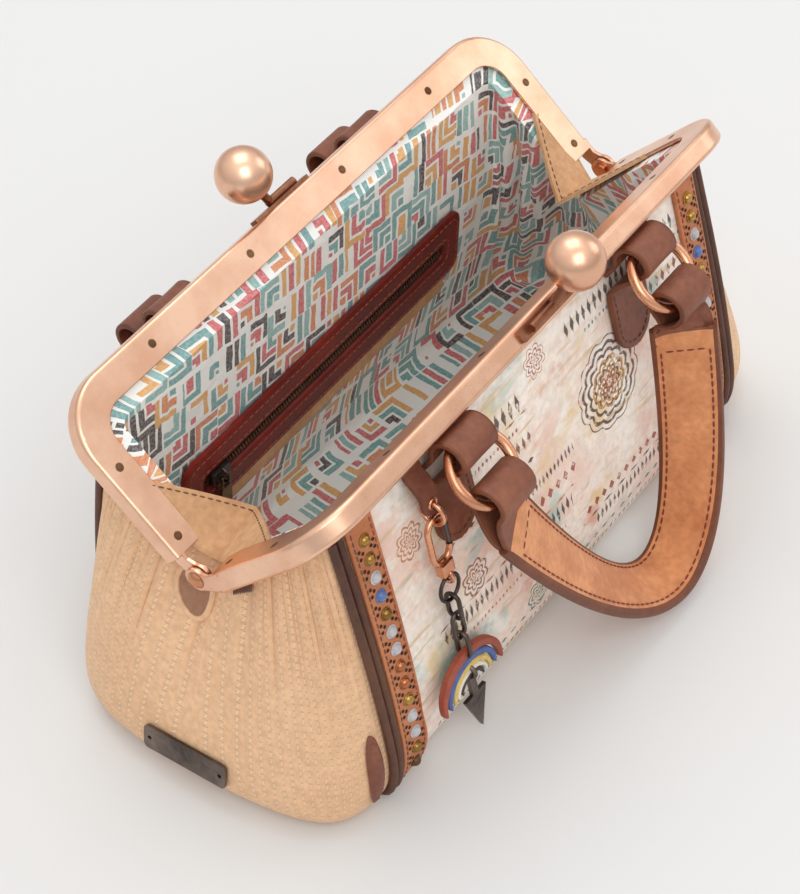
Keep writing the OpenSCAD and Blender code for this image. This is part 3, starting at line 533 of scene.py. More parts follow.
def sew(name, path, outs, pitch, size, yarn, slot, body):
    """A row of stitches along a path, as one piece."""
    path, outs = np.asarray(path, float), np.asarray(outs, float)
    run, near = run_along(path), 0.3
    count = max(2, int(run[-1] / pitch))
    places = []
    for d in [(k + 0.5) * run[-1] / count for k in range(count)]:
        along = at_run(path, run, d + near) - at_run(path, run, d - near)
        places.append(frame_at(at_run(path, run, d), along, at_run(outs, run, d), size))
    return settle(copies(name, stitch, places), yarn, slot, body)


print("stitch:", len(stitch.data.polygons), "faces")


# %% [markdown]
# ## Finishes
# Leather is a fibre mat with a fine pebble grain. Its colour drifts in soft clouds, and the grain breaks
# up the gloss. Tanned calf is a little glossy, nubuck is brushed and has almost no gloss but a soft sheen.
# The grain of about 0.6 mm is drawn at about 0.9 mm so that it shows at this distance.

# %% Leather
def leather(name, colour, shade, rough=0.55, grain_mm=0.9, grain=0.25, sheen=0.0, cloud_mm=25, speck_mm=2.5):
    finish, tree, shader = new_material(name)
    where = add(tree, "TexCoord").outputs["Object"]
    cloud = add(tree, "TexNoise", {"Vector": where, "Scale": 1000 / cloud_mm, "Detail": 5.0,
                                   "Roughness": 0.6})
    speck = add(tree, "TexNoise", {"Vector": where, "Scale": 1000 / speck_mm, "Detail": 3.0})
    pebble = add(tree, "TexVoronoi", {"Vector": where, "Scale": 1000 / grain_mm})
    drift = add(tree, "MapRange", {"Value": cloud, "From Min": 0.35, "From Max": 0.68})
    tint = add(tree, "Mix", {0: drift, 6: linear(shade), 7: linear(colour)}, data_type="RGBA")
    fleck = add(tree, "MapRange", {"Value": speck, "From Min": 0.3, "From Max": 0.7,
                                   "To Min": 0.86, "To Max": 1.08})
    final = add(tree, "VectorMath", {0: tint, "Scale": fleck}, operation="SCALE")
    gloss = add(tree, "MapRange", {"Value": cloud, "To Min": rough - 0.12, "To Max": rough + 0.14})
    relief = add(tree, "Math", {0: pebble, 1: speck}, operation="ADD")
    bump = add(tree, "Bump", {"Strength": grain, "Distance": 0.0003, "Height": relief})
    plug(shader, {"Base Color": final, "Roughness": gloss, "Normal": bump, "Specular IOR Level": 0.35,
                  "Sheen Weight": sheen, "Sheen Roughness": 0.5})
    return finish


cognac_nubuck = leather("cognac_nubuck", "#E29C6A", "#C67E50", rough=0.72, grain=0.16, sheen=0.15,
                        cloud_mm=16)
cognac_strip = leather("cognac_strip_leather", "#C98258", "#B16C45", rough=0.6)
dark_calf = leather("dark_brown_calf", "#925A43", "#6C3C2C", rough=0.5, grain=0.35)
piping_calf = leather("dark_piping_calf", "#68432F", "#4C2C21", rough=0.5)
tan_facing = leather("tan_facing_leather", "#D9AC82", "#C2946A", rough=0.65)
pocket_calf = leather("oxblood_pocket_calf", "#7E1D0E", "#591109", rough=0.42, grain=0.3)
edge_paint = leather("painted_edge", "#80492F", "#633522", rough=0.45, grain=0.08)
plain_tan = leather("plain_tan_leather", "#D8B48E", "#C69F76", rough=0.65)
print("leathers made, the smoothest is", edge_paint.name)


# %% [markdown]
# Thread is waxed polyester, a twist of fine strands with a soft shine. Enamel is a glass colour fired on a
# metal stud: smooth, glossy and a little uneven. Both are one colour that a noise makes lighter and darker,
# so one function gives both, with the size of the noise and its strength.

# %% Thread and enamel
def mottled(name, colour, mottle_mm, detail, dark, light, rough):
    finish, tree, shader = new_material(name)
    where = add(tree, "TexCoord").outputs["Object"]
    cloud = add(tree, "TexNoise", {"Vector": where, "Scale": 1000 / mottle_mm, "Detail": detail})
    tone = add(tree, "MapRange", {"Value": cloud, "To Min": dark, "To Max": light})
    final = add(tree, "VectorMath", {0: linear(colour)[:3], "Scale": tone}, operation="SCALE")
    plug(shader, {"Base Color": final, "Roughness": rough})
    return finish


red_thread, brown_thread, rust_thread = (
    mottled(name, colour, 0.5, 2.0, 0.7, 1.25, 0.5) for name, colour in
    (("dark_red_thread", "#7E3324"), ("brown_thread", "#6B4634"), ("rust_thread", "#A0482C")))
pearl, blue = (mottled(name, colour, 3, 3.0, 0.65, 1.2, 0.22) for name, colour in
               (("pearl_enamel", "#C3C0C4"), ("blue_enamel", "#5D79B4")))
print("threads and enamels made")


# %% [markdown]
# The frame is steel with a satin copper plating, a little darker where fingers don't polish it. A metal
# keeps its default IOR, and all its colour is in the reflection. A fine noise in the roughness keeps the
# highlights broad, and a Bevel node rounds the sharp edges of the solids. Where it turns the surface, a
# darker copper is painted in as shade on the rounded edges. Old silver also has the shallow dents of a hammer.

# %% Metals
def metal(name, bright, dull, rough, brush=0.06, patina_mm=30, round_mm=0.5, dent_mm=0.0, edge_shade=None):
    finish, tree, shader = new_material(name)
    where = add(tree, "TexCoord").outputs["Object"]
    cloud = add(tree, "TexNoise", {"Vector": where, "Scale": 1000 / patina_mm, "Detail": 6.0,
                                   "Roughness": 0.65})
    fine = add(tree, "TexNoise", {"Vector": where, "Scale": 1000 / 0.8, "Detail": 2.0})
    edge = add(tree, "Bevel", {"Radius": round_mm * MM}, samples=6)
    bare = add(tree, "NewGeometry").outputs["True Normal"]
    turn = add(tree, "VectorMath", {0: edge, 1: bare}, operation="DOT_PRODUCT")
    # Painted shade: where the Bevel turns the surface, at the rounded edges, the colour goes to a darker
    # copper.
    wear_and_edge_shade = add(tree, "MapRange", {"Value": turn, "From Min": 1.0, "From Max": 0.86})
    drift = add(tree, "MapRange", {"Value": cloud, "From Min": 0.38, "From Max": 0.64})
    tint = add(tree, "Mix", {0: drift, 6: linear(dull), 7: linear(bright)}, data_type="RGBA")
    edge_shaded_tint = add(tree, "Mix", {0: wear_and_edge_shade, 6: tint, 7: linear(edge_shade or dull)}, data_type="RGBA")
    gloss = add(tree, "MapRange", {"Value": fine, "To Min": rough - brush, "To Max": rough + brush})
    height, strength, depth = fine, 0.05, 0.0002
    if dent_mm:
        height = add(tree, "TexVoronoi", {"Vector": where, "Scale": 1000 / dent_mm}, feature="SMOOTH_F1")
        strength, depth = 0.6, 0.0006
    bump = add(tree, "Bump", {"Strength": strength, "Distance": depth, "Height": height, "Normal": edge})
    plug(shader, {"Base Color": edge_shaded_tint, "Roughness": gloss, "Normal": bump, "Metallic": 1.0})
    return finish


rose_gold = metal("satin_rose_gold", "#F6CBAE", "#E4B193", 0.3, edge_shade="#B0714F")
rose_polish = metal("polished_rose_gold", "#EBAE8B", "#C98A68", 0.26, round_mm=0.2)
patina_copper = metal("patina_copper", "#A87358", "#6E4836", 0.36, round_mm=0.2, patina_mm=12)
dark_brass = metal("dark_brass", "#8B6A4C", "#5E4633", 0.38, round_mm=0.2)
gunmetal = metal("gunmetal", "#6E625C", "#47403C", 0.4, round_mm=0.2)
hammered = metal("hammered_old_silver", "#8D8078", "#554B46", 0.38, round_mm=0.3, dent_mm=2.4)
gold = metal("old_gold_stud", "#C39A55", "#8E6A38", 0.3, round_mm=0.1)
copper = metal("copper_stud", "#C07A52", "#8A5238", 0.3, round_mm=0.1)
finish_of = {
    rose_gold: ["front_frame", "back_frame", "front_clasp_ball", "back_clasp_ball"],
    rose_polish: ["front_ring_left", "front_ring_right", "back_ring_left", "back_ring_right", "charm_ring",
                  "snap_hook", "front_hinge_rivet", "back_hinge_rivet", "hinge_washers"],
    patina_copper: ["front_clasp_arm", "back_clasp_arm"],
    dark_brass: ["front_rivets", "back_rivets", "zip_pull"],
    gunmetal: ["snap_gate", "split_ring", "chain_link_1", "chain_link_2", "chain_link_3", "zip_slider"],
    hammered: ["charm_drop", "gusset_plate"],
}
for finish, names in finish_of.items():
    for name in names:
        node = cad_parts[name]
        node.data.materials.clear()
        node.data.materials.append(finish)
print("metal nodes:", sum(len(n) for n in finish_of.values()))

# %% [markdown]
# The gussets are soft tan leather, sewn all over with upright rows of thread in its own colour. The rows
# stand 4.2 mm apart at the base and run together towards the hinge. The sheet's UV map counts millimetres,
# so the rows are counted off it: a groove for each row, and a slanted dash for each stitch. Between the
# dashes the groove and the stitch holes are painted a darker tan, as shade.

# %% Stitched tan leather
quilted_tan = leather("quilted_tan_leather", "#EBC199", "#E1B48B", rough=0.75, grain=0.1, sheen=0.12,
                      cloud_mm=45)
tree = quilted_tan.node_tree
shader = tree.nodes["Principled BSDF"]
grain_bump = shader.inputs["Normal"].links[0].from_socket
plain_tint = shader.inputs["Base Color"].links[0].from_socket
flat = add(tree, "SeparateXYZ", {0: add(tree, "TexCoord").outputs["UV"]})
row_gap, stitch_gap, slant = 4.2, 2.6, 0.28
soft = {"interpolation_type": "SMOOTHSTEP"}
lean = add(tree, "Math", {0: flat.outputs["Y"], 1: stitch_gap}, operation="MODULO")
shift = add(tree, "Math", {0: lean, 1: slant, 2: flat.outputs["X"]}, operation="MULTIPLY_ADD")
row = add(tree, "Math", {0: shift, 1: row_gap}, operation="PINGPONG")
across = add(tree, "Math", {0: row, 1: row_gap / 2}, operation="SUBTRACT")
away = add(tree, "Math", {0: across}, operation="ABSOLUTE")
groove = add(tree, "MapRange", {"Value": away, "From Min": 0.2, "From Max": 1.1}, **soft)
beat = add(tree, "Math", {0: flat.outputs["Y"], 1: stitch_gap / 2}, operation="PINGPONG")
dash = add(tree, "MapRange", {"Value": beat, "From Min": 0.2, "From Max": 0.45}, **soft)
core = add(tree, "MapRange", {"Value": away, "From Min": 0.36, "From Max": 0.16}, **soft)
sewn = add(tree, "Math", {0: core, 1: dash}, operation="MULTIPLY")
# Painted shade: the groove and the stitch holes between the dashes are a darker tan.
groove_shade = add(tree, "Math", {0: core, 1: sewn}, operation="SUBTRACT")
height = add(tree, "Math", {0: sewn, 1: 0.8, 2: groove}, operation="MULTIPLY_ADD")
quilt = add(tree, "Bump", {"Strength": 0.35, "Distance": 0.0005, "Height": height, "Normal": grain_bump})
hole_shade = add(tree, "Mix", {0: groove_shade, 6: plain_tint, 7: linear("#BE8F68")}, data_type="RGBA")
faint = add(tree, "Math", {0: sewn, 1: 0.7}, operation="MULTIPLY")
tinted = add(tree, "Mix", {0: faint, 6: hole_shade, 7: linear("#F1CFAC")}, data_type="RGBA")
plug(shader, {"Base Color": tinted, "Normal": quilt})
print("quilted leather:", len(tree.nodes), "nodes")

# %% [markdown]
# The front is pale leather, printed like a page of a sketch book: washes of cream, blush, ochre and teal,
# thin dry brush streaks, and stamped rows and rosettes in brown ink. The sheet's UV map counts
# millimetres from the middle of the base edge, so a motif is a few sums on its two numbers. Noise wears
# the ink off in places, as a hand print does.

# %% Washes of the printed leather
printed = leather("printed_pale_leather", "#FCF2E7", "#F5E7DA", rough=0.5, grain=0.15, cloud_mm=30)
tree = printed.node_tree
shader = tree.nodes["Principled BSDF"]
tint = shader.inputs["Base Color"].links[0].from_socket
uv = add(tree, "TexCoord").outputs["UV"]
# Colour, width and height of the blots in mm, the noise at which they start and are full, and a seed
washes = [("#ECC4B2", 46, 40, 0.48, 0.64, 1.0), ("#E8CB92", 36, 30, 0.54, 0.66, 7.0),
          ("#9CC6BF", 40, 30, 0.57, 0.68, 13.0), ("#E2A390", 20, 18, 0.60, 0.70, 19.0),
          ("#D9B98F", 34, 4, 0.55, 0.66, 25.0), ("#8DB9B6", 26, 3, 0.63, 0.70, 29.0),
          ("#F9F4EC", 18, 12, 0.54, 0.64, 31.0), ("#C98F72", 30, 2.5, 0.66, 0.72, 37.0)]
for colour, wide, tall, low, high, seed in washes:
    spread = add(tree, "Mapping", {"Vector": uv, "Scale": (1 / wide, 1 / tall, 1)})
    cloud = add(tree, "TexNoise", {"Vector": spread, "W": seed, "Scale": 1.0, "Detail": 6.0, "Roughness": 0.6,
                                   "Distortion": 0.4}, noise_dimensions="4D")
    amount = add(tree, "MapRange", {"Value": cloud, "From Min": low, "From Max": high, "To Max": 0.85})
    tint = add(tree, "Mix", {0: amount, 6: tint, 7: linear(colour)}, data_type="RGBA")
print("washes:", len(washes))

# %% Unsteady hand and worn ink
shaky = add(tree, "TexNoise", {"Vector": uv, "Scale": 1 / 5, "Detail": 1.0})
drawn = add(tree, "VectorMath", {0: shaky.outputs["Color"], 1: (1.2, 1.2, 0), 2: uv},
            operation="MULTIPLY_ADD")
spot = add(tree, "SeparateXYZ", {0: drawn})
wear = add(tree, "TexNoise", {"Vector": uv, "Scale": 1 / 3.5, "Detail": 4.0, "Roughness": 0.7})
ink = add(tree, "MapRange", {"Value": wear, "From Min": 0.36, "From Max": 0.48,
                             "To Min": 0.15, "To Max": 0.9})
umber, brick, russet, ochre, teal = "#3D2C2A", "#9A3B2B", "#7A3F33", "#B9743F", "#4F7F7C"
cocoa, honey, bark, edge_blur = "#7A4A38", "#C98F3C", "#8A5B3C", 0.25
marks = []
print("ink covers 15 to 90 percent")

# %% Rosettes
# Middle, radius, gap between rings, number of lobes and ink
lobe_depth = 1.5
rosettes = [(38, 76, 19, 3.2, 12, umber), (38, 76, 11, 2.4, 9, honey), (38, 76, 6, 2.1, 6, brick),
            (-52, 58, 8.5, 2.2, 8, cocoa), (84, 40, 9, 2.4, 10, cocoa), (-20, 22, 7, 2.0, 7, teal),
            (-78, 96, 7.5, 2.1, 9, ochre), (2, 112, 6.5, 2.0, 8, brick)]
for x, y, size, gap, lobes, colour in rosettes:
    off = add(tree, "VectorMath", {0: drawn, 1: (x, y, 0)}, operation="SUBTRACT")
    reach = add(tree, "VectorMath", {0: off}, operation="LENGTH")
    part = add(tree, "SeparateXYZ", {0: off})
    turn = add(tree, "Math", {0: part.outputs["Y"], 1: part.outputs["X"]}, operation="ARCTAN2")
    beat = add(tree, "Math", {0: turn, 1: lobes / 2}, operation="MULTIPLY")
    petal = add(tree, "Math", {0: beat}, operation="SINE")
    bulge = add(tree, "Math", {0: petal}, operation="ABSOLUTE")
    lobed = add(tree, "Math", {0: bulge, 1: -lobe_depth, 2: reach}, operation="MULTIPLY_ADD")
    ring = add(tree, "Math", {0: lobed, 1: gap / 2}, operation="PINGPONG")
    line = add(tree, "MapRange", {"Value": ring, "From Min": gap * 0.24, "From Max": gap * 0.24 + edge_blur})
    disc = add(tree, "Math", {0: lobed, 1: size - lobe_depth}, operation="LESS_THAN")
    marks.append((add(tree, "Math", {0: line, 1: disc}, operation="MULTIPLY"), colour))
print("rosettes:", len(rosettes))

# %% Rows of diamonds
# Height over the base edge, spacing, height of a diamond, left and right end, and ink
rows = [(104, 4.0, 9.0, -64, -10, umber), (95, 2.2, 2.4, -60, -14, brick), (88, 3.4, 6.0, -62, -8, russet),
        (79, 6.0, 2.0, -62, -8, umber), (66, 2.4, 5.0, -34, 12, umber), (58, 5.0, 5.0, -30, 12, brick),
        (46, 3.0, 8.0, -74, 6, umber), (38, 2.2, 2.2, -70, 0, ochre), (33, 5.0, 4.0, 12, 66, brick),
        (25, 2.8, 6.0, 18, 74, umber), (17, 6.0, 2.0, -82, 88, teal), (11, 3.0, 4.0, -82, 92, bark),
        (62, 3.0, 7.0, 66, 96, umber), (54, 2.2, 2.4, 66, 96, ochre), (94, 4.0, 6.0, 66, 96, russet),
        (104, 2.4, 2.4, 30, 96, teal), (111, 3.6, 8.0, 20, 92, umber), (51, 9.0, 1.2, -76, 8, brick),
        (99, 9.0, 1.2, -66, -8, brick), (29, 9.0, 1.2, 10, 76, umber)]
for height, period, rise, left, right, colour in rows:
    step = add(tree, "Math", {0: spot.outputs["X"], 1: period / 2}, operation="PINGPONG")
    off = add(tree, "Math", {0: spot.outputs["Y"], 1: height}, operation="SUBTRACT")
    away = add(tree, "Math", {0: off}, operation="ABSOLUTE")
    shape = add(tree, "Math", {0: away, 1: 0.7 * period / rise, 2: step}, operation="MULTIPLY_ADD")
    line = add(tree, "MapRange", {"Value": shape, "From Min": 0.35 * period,
                                  "From Max": 0.35 * period - edge_blur})
    side = add(tree, "Math", {0: spot.outputs["X"], 1: (left + right) / 2}, operation="SUBTRACT")
    far = add(tree, "Math", {0: side}, operation="ABSOLUTE")
    span = add(tree, "Math", {0: far, 1: (right - left) / 2}, operation="LESS_THAN")
    marks.append((add(tree, "Math", {0: line, 1: span}, operation="MULTIPLY"), colour))
for mask, colour in marks:
    amount = add(tree, "Math", {0: mask, 1: ink}, operation="MULTIPLY")
    tint = add(tree, "Mix", {0: amount, 6: tint, 7: linear(colour)}, data_type="RGBA")
plug(shader, {"Base Color": tint})
print("rows:", len(rows), "nodes", len(tree.nodes))

# %% [markdown]
# The lining is a white satin cotton with short printed bars: nested corners, brackets and sets of three.
# Each cell of a grid of 12.5 mm rolls its own kind, turn and colours, and each row is shifted against the
# last, so the eye finds no repeat. The larger of the two cell coordinates is constant along an L, so bands
# of that number are nested corners; one coordinate alone gives parallel bars.

# %% Cells of the lining
lining_cotton, tree, shader = new_material("printed_satin_cotton")
uv = add(tree, "TexCoord").outputs["UV"]
cell_mm, tilt, row_shift = 12.5, math.radians(7), 0.37
wobble = add(tree, "TexNoise", {"Vector": uv, "Scale": 1 / 6, "Detail": 1.0})
shaky = add(tree, "VectorMath", {0: wobble.outputs["Color"], 1: (1.3, 1.3, 0), 2: uv},
            operation="MULTIPLY_ADD")
spun = add(tree, "Mapping", {"Vector": shaky, "Rotation": (0, 0, tilt), "Scale": (1 / cell_mm,) * 3})
grid = add(tree, "SeparateXYZ", {0: spun})
level = add(tree, "Math", {0: grid.outputs["Y"]}, operation="FLOOR")
moved = add(tree, "Math", {0: level, 1: row_shift, 2: grid.outputs["X"]}, operation="MULTIPLY_ADD")
laid = add(tree, "CombineXYZ", {0: moved, 1: grid.outputs["Y"]})
cell = add(tree, "VectorMath", {0: laid}, operation="FLOOR")
inside = add(tree, "VectorMath", {0: laid}, operation="FRACTION")
dice = add(tree, "TexWhiteNoise", {"Vector": cell}, noise_dimensions="2D")
chance = add(tree, "SeparateColor", {0: dice.outputs["Color"]})
local = add(tree, "VectorMath", {0: inside, 1: (0.5, 0.5, 0)}, operation="SUBTRACT")
flat = add(tree, "SeparateXYZ", {0: local})
flips = []
for axis, source in (("X", "Red"), ("Y", "Green")):
    side = add(tree, "Math", {0: chance.outputs[source], 1: 0.5}, operation="GREATER_THAN")
    sign = add(tree, "Math", {0: side, 1: 2.0, 2: -1.0}, operation="MULTIPLY_ADD")
    flips.append(add(tree, "Math", {0: flat.outputs[axis], 1: sign}, operation="MULTIPLY"))
print("lining cells of", cell_mm, "mm")

# %% Motif of each cell
corner = add(tree, "Math", {0: flips[0], 1: flips[1]}, operation="MAXIMUM")
tail = add(tree, "Math", {0: flips[0], 1: flips[1]}, operation="MINIMUM")
wide = add(tree, "Math", {0: flat.outputs["X"]}, operation="ABSOLUTE")
bracket = add(tree, "Math", {0: wide, 1: flips[1]}, operation="MAXIMUM")
is_bars = add(tree, "Math", {0: chance.outputs["Blue"], 1: 0.68}, operation="GREATER_THAN")
is_bracket = add(tree, "Math", {0: chance.outputs["Blue"], 1: 0.86}, operation="GREATER_THAN")
shape = add(tree, "Mix", {0: is_bars, 2: corner, 3: flips[0]}, data_type="FLOAT")
shape = add(tree, "Mix", {0: is_bracket, 2: shape, 3: bracket}, data_type="FLOAT")
again = add(tree, "VectorMath", {0: cell, 1: (21.3, 5.9, 0)}, operation="ADD")
second = add(tree, "TexWhiteNoise", {"Vector": again}, noise_dimensions="2D")
dice = add(tree, "SeparateColor", {0: second.outputs["Color"]})
zoom = add(tree, "Math", {0: dice.outputs["Red"], 1: 0.3, 2: 0.82}, operation="MULTIPLY_ADD")
shape = add(tree, "Math", {0: shape, 1: zoom}, operation="MULTIPLY")
short = add(tree, "Math", {0: dice.outputs["Green"], 1: -0.3, 2: -0.26}, operation="MULTIPLY_ADD")
kept = add(tree, "Math", {0: tail, 1: short}, operation="GREATER_THAN")
print("motifs: corners, bars and brackets")

# %% Colours of the bars
cotton = linear("#F4F5F1")
colours = [linear(c) for c in ("#72A5A4", "#D1686A", "#E2A95F", "#4C4142", "#93BDB8", "#DC8A57")]
shares, bar_bands = (0.26, 0.47, 0.68, 0.82, 0.92), ((0.24, 0.45), (-0.06, 0.15), (-0.36, -0.15))
paint = cotton
for k, (low, high) in enumerate(bar_bands):
    off = add(tree, "Math", {0: shape, 1: (low + high) / 2}, operation="SUBTRACT")
    size = add(tree, "Math", {0: off}, operation="ABSOLUTE")
    bar = add(tree, "Math", {0: size, 1: (high - low) / 2}, operation="LESS_THAN")
    on = add(tree, "Math", {0: bar, 1: kept}, operation="MULTIPLY")
    seedling = add(tree, "VectorMath", {0: cell, 1: (3.7 + k, 9.1 - 2 * k, 0)}, operation="ADD")
    roll = add(tree, "TexWhiteNoise", {"Vector": seedling}, noise_dimensions="2D")
    luck = add(tree, "SeparateColor", {0: roll.outputs["Color"]})
    skip = add(tree, "Math", {0: luck.outputs["Blue"], 1: 0.05}, operation="GREATER_THAN")
    on = add(tree, "Math", {0: on, 1: skip}, operation="MULTIPLY")
    pick = colours[0]
    for colour, share in zip(colours[1:], shares):
        over = add(tree, "Math", {0: roll.outputs["Value"], 1: share}, operation="GREATER_THAN")
        pick = add(tree, "Mix", {0: over, 6: pick, 7: colour}, data_type="RGBA")
    paint = add(tree, "Mix", {0: on, 6: paint, 7: pick}, data_type="RGBA")
wear_and_edge_shade = add(tree, "TexNoise", {"Vector": uv, "Scale": 1 / 1.1, "Detail": 3.0})
fade = add(tree, "MapRange", {"Value": wear_and_edge_shade, "From Min": 0.3, "From Max": 0.6, "To Min": 0.74, "To Max": 1.0})
brushed = add(tree, "Mix", {0: fade, 6: cotton, 7: paint}, data_type="RGBA")
crease = add(tree, "TexNoise", {"Vector": uv, "Scale": 1 / 11, "Detail": 3.0, "Distortion": 0.8})
bump = add(tree, "Bump", {"Strength": 0.4, "Distance": 0.003, "Height": crease})
plug(shader, {"Base Color": brushed, "Normal": bump, "Roughness": 0.5, "Sheen Weight": 0.15})
print("lining:", len(tree.nodes), "nodes")

# %% [markdown]
# ## Gussets
# The two ends of the bag are gathered into the arms of the frame. Narrow creases start under the arm and
# die out half way down. Each gusset is made in a front and a back half, which meet at the hinge.

# %% Gussets
gusset_cut, held_rows = (84, 150), [1.2, 1.4]
deep_crease, fine_crease, ripple_h = 1.7, 0.8, 0.5


def held_share(v):
    """How far a row past the mouth lies in the channel."""
    return (v - 1) / (held_rows[-1] - 1)


def crease_depth(s, v, count, phase):
    top = smooth((v - 0.25) / 0.6)
    return -top * (1 - abs(math.sin(math.pi * count * s + phase))) ** 3


def gusset_base(s, end, v):
    if v <= 1:
        return gusset_pt(s, end, v)
    return lerp(rim_end(s, end, mouth_e, panel_n), rim_end(s, end, grip_e, panel_n), held_share(v))


def gather(s, end, v):
    """How far a point lies off the smooth wall."""
    deep = deep_crease * crease_depth(s, v, 5.5, 0.7 * end) + fine_crease * crease_depth(s, v, 10.3, 1.9)
    ripple = ripple_h * smooth(v / 0.2) * noise.noise(Vector((s * 5, v * 2.2, end * 3.1)))
    calm_rim, calm_seam = 1 - 0.8 * smooth((v - 0.9) / 0.1), smooth((1 - abs(s)) / 0.12 + 0.15)
    return (deep + ripple) * calm_rim * calm_seam


v_list = [*np.linspace(0, 1, 81), *held_rows]
for end, end_name in ENDS:
    for side, side_name in SIDES:
        s_list = np.linspace(0, side, 73)
        points = np.array([[gusset_base(s, end, v) for s in s_list] for v in v_list])
        folds = np.array([[gather(s, end, v) for s in s_list] for v in v_list])
        points += grid_normals(points, np.array([end * 1.0, 0.0, 0.0])) * folds[:, :, None]
        uv = grid_uv(s_list * gusset_cut[0], points)
        piece = sheet_piece("gusset_%s_%s" % (end_name, side_name), points, uv, (end, 0, 0), leather_t)
        settle(piece, quilted_tan, "tan_leather", side_name + "_wall", "gusset_" + end_name)
        declare_cloth(piece, points)

# %% [markdown]
# ## Front and back panels
# The two large walls are stretched between the base and the long bar of each jaw. They are nearly flat, so
# a shallow wave is enough to keep them from looking like board.

# %% Panels
panel_cut, panel_wave = (232, 140), 0.9


def panel_base(t, side, v):
    if v > 1:
        return lerp(rim_panel(t, side, mouth_e, panel_n), rim_panel(t, side, grip_e, panel_n), held_share(v))
    wave = noise.noise(Vector((t * 4.2, v * 2.6, side * 5.0))) * panel_wave
    calm = math.sin(math.pi * v) * smooth((1 - abs(t)) / 0.15)
    return panel_pt(t, side, v) + np.array([0, side * wave * calm, 0])


t_list, v_list = np.linspace(-1, 1, 141), [*np.linspace(0, 1, 71), *held_rows]
for (side, name), finish, slot in zip(SIDES, (printed, plain_tan), ("printed_leather", "tan_leather")):
    points = np.array([[panel_base(t, side, v) for t in t_list] for v in v_list])
    uv = grid_uv(t_list * panel_w / 2, points)
    piece = sheet_piece(name + "_wall", points, uv, (0, side, 0), leather_t)
    settle(piece, finish, slot, name + "_wall", name + "_panel")
    declare_cloth(piece, points)

# %% [markdown]
# ## Lining
# The lining is a second bag of thin cotton that hangs inside the first. It is a little too large for it, so
# it lies in soft folds, most of all in the corners at the hinges. Its floor and its wall are one sheet on
# each side of the middle line.

# %% Folds of the lining
lining_inset, slack, hinge_slack, cotton_t, lining_cut = 4.0, 6.0, 3.0, 1.0, (400, 210)
floor_rows, wall_rows = 10, 64


def lining_pt(column, side, v):
    kind, end, k = column
    if kind == "end":
        return gusset_pt(k, end, v, lining_inset, lining_n, lerp(-hinge_slack, -slack, abs(k)))
    return panel_pt(k, side, v, lining_inset, lining_n, -slack)


def lining_rim(column, side, share):
    kind, end, k = column
    e = lerp(mouth_at(lining_n), grip_e, share)
    return rim_end(k, end, e, lining_n) if kind == "end" else rim_panel(k, side, e, lining_n)


def lining_fold(column, side, v):
    """How far the cotton hangs off its smooth line: folds at the ends, waves and puckers on the walls."""
    kind, end, k = column
    bag = math.sin(math.pi * v) ** 0.7
    if kind == "end":
        fold = 2.6 * math.sin(abs(k) * 13 + 2 * v + end) + 1.6 * math.sin(abs(k) * 29 - 3 * v)
        return bag * (fold * smooth(abs(k) / 0.15) * smooth((1 - abs(k)) / 0.12 + 0.3) - 1.5)
    pucker = 0.8 * math.sin(k * 70 + 3 * math.sin(k * 23)) * smooth((v - 0.72) / 0.2)
    calm = 1.0 if side == FRONT else smooth((abs(k) - 0.78) / 0.12)
    wave = 2.4 * noise.noise(Vector((k * 5.0, v * 2.4, 4.0 + side)))
    return bag * (wave * calm + pucker)


print("lining of", floor_rows + wall_rows, "rows")

# %% Lining
wall_v = np.linspace(0, 1, wall_rows + 1)
for side, name in SIDES:
    columns = [("end", LEFT, side * k) for k in np.linspace(0, 1, 45)]
    columns += [("wall", 0, t) for t in np.linspace(-1, 1, 121)[1:]]
    columns += [("end", RIGHT, side * k) for k in np.linspace(1, 0, 45)[1:]]
    ground = [[lining_pt(c, side, 0) * (1, i / floor_rows, 1) for c in columns] for i in range(floor_rows)]
    wall = [[lining_pt(c, side, v) for c in columns] for v in wall_v]
    rim = [[lining_rim(c, side, share) for c in columns] for share in (0.5, 1.0)]
    points = np.array(ground + wall + rim)
    loose = np.zeros(points.shape[:2])
    loose[floor_rows:-len(rim)] = [[lining_fold(c, side, v) for c in columns] for v in wall_v]
    points += grid_normals(points, np.array([0, -side, 0.0])) * loose[:, :, None]
    belt = points[floor_rows + wall_rows // 2][None]
    uv = grid_uv(run_lengths(belt, 1), points)
    uv[:, :, 1] += lining_cut[0] * (side == BACK)
    piece = sheet_piece("lining_" + name, points, uv, (0, -side, 0.4), cotton_t)
    settle(piece, lining_cotton, "lining_cloth", name + "_wall", "lining")
    declare_cloth(piece, points)


# %% [markdown]
# ## Base, piping and corded edges
# A thin board makes the base. A cord in tan leather closes its edge, and two dark cords lie side by side
# along each upright seam. A cord is a tube along the seam's own line.

# %% Base
def base_outline(edge, count=48):
    turns = np.linspace(-1, 1, count)
    right = [end_pt(s, RIGHT, edge)[:2] for s in turns]
    left = [end_pt(s, LEFT, edge)[:2] for s in turns[::-1]]
    return np.array(right + left)


board_edge = ((11.0, 0.0), (9.4, 0.4), (8.8, 1.5), (9.0, 2.6), (10.4, 3.0))
rings = [[(x, y, z) for x, y in base_outline(edge)] for edge, z in board_edge]
board = loft("base_board", rings, [base_outline(0)] * len(rings))
settle(board, dark_calf, "dark_leather", "bag", "base_panel")
low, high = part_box("base_piping")
cord_d, cord_in = (high.z - low.z) / MM, 0.6
edge_line = [(x, y, (low.z + high.z) / 2 / MM) for x, y in base_outline(roll_in - cord_in, 60)]
base_cord = tube("base_cord", edge_line + edge_line[:1], cord_d / 2, 10)
settle(base_cord, plain_tan, "tan_leather", "bag", "base_piping")
print("base cord", round(cord_d, 2), "mm thick")

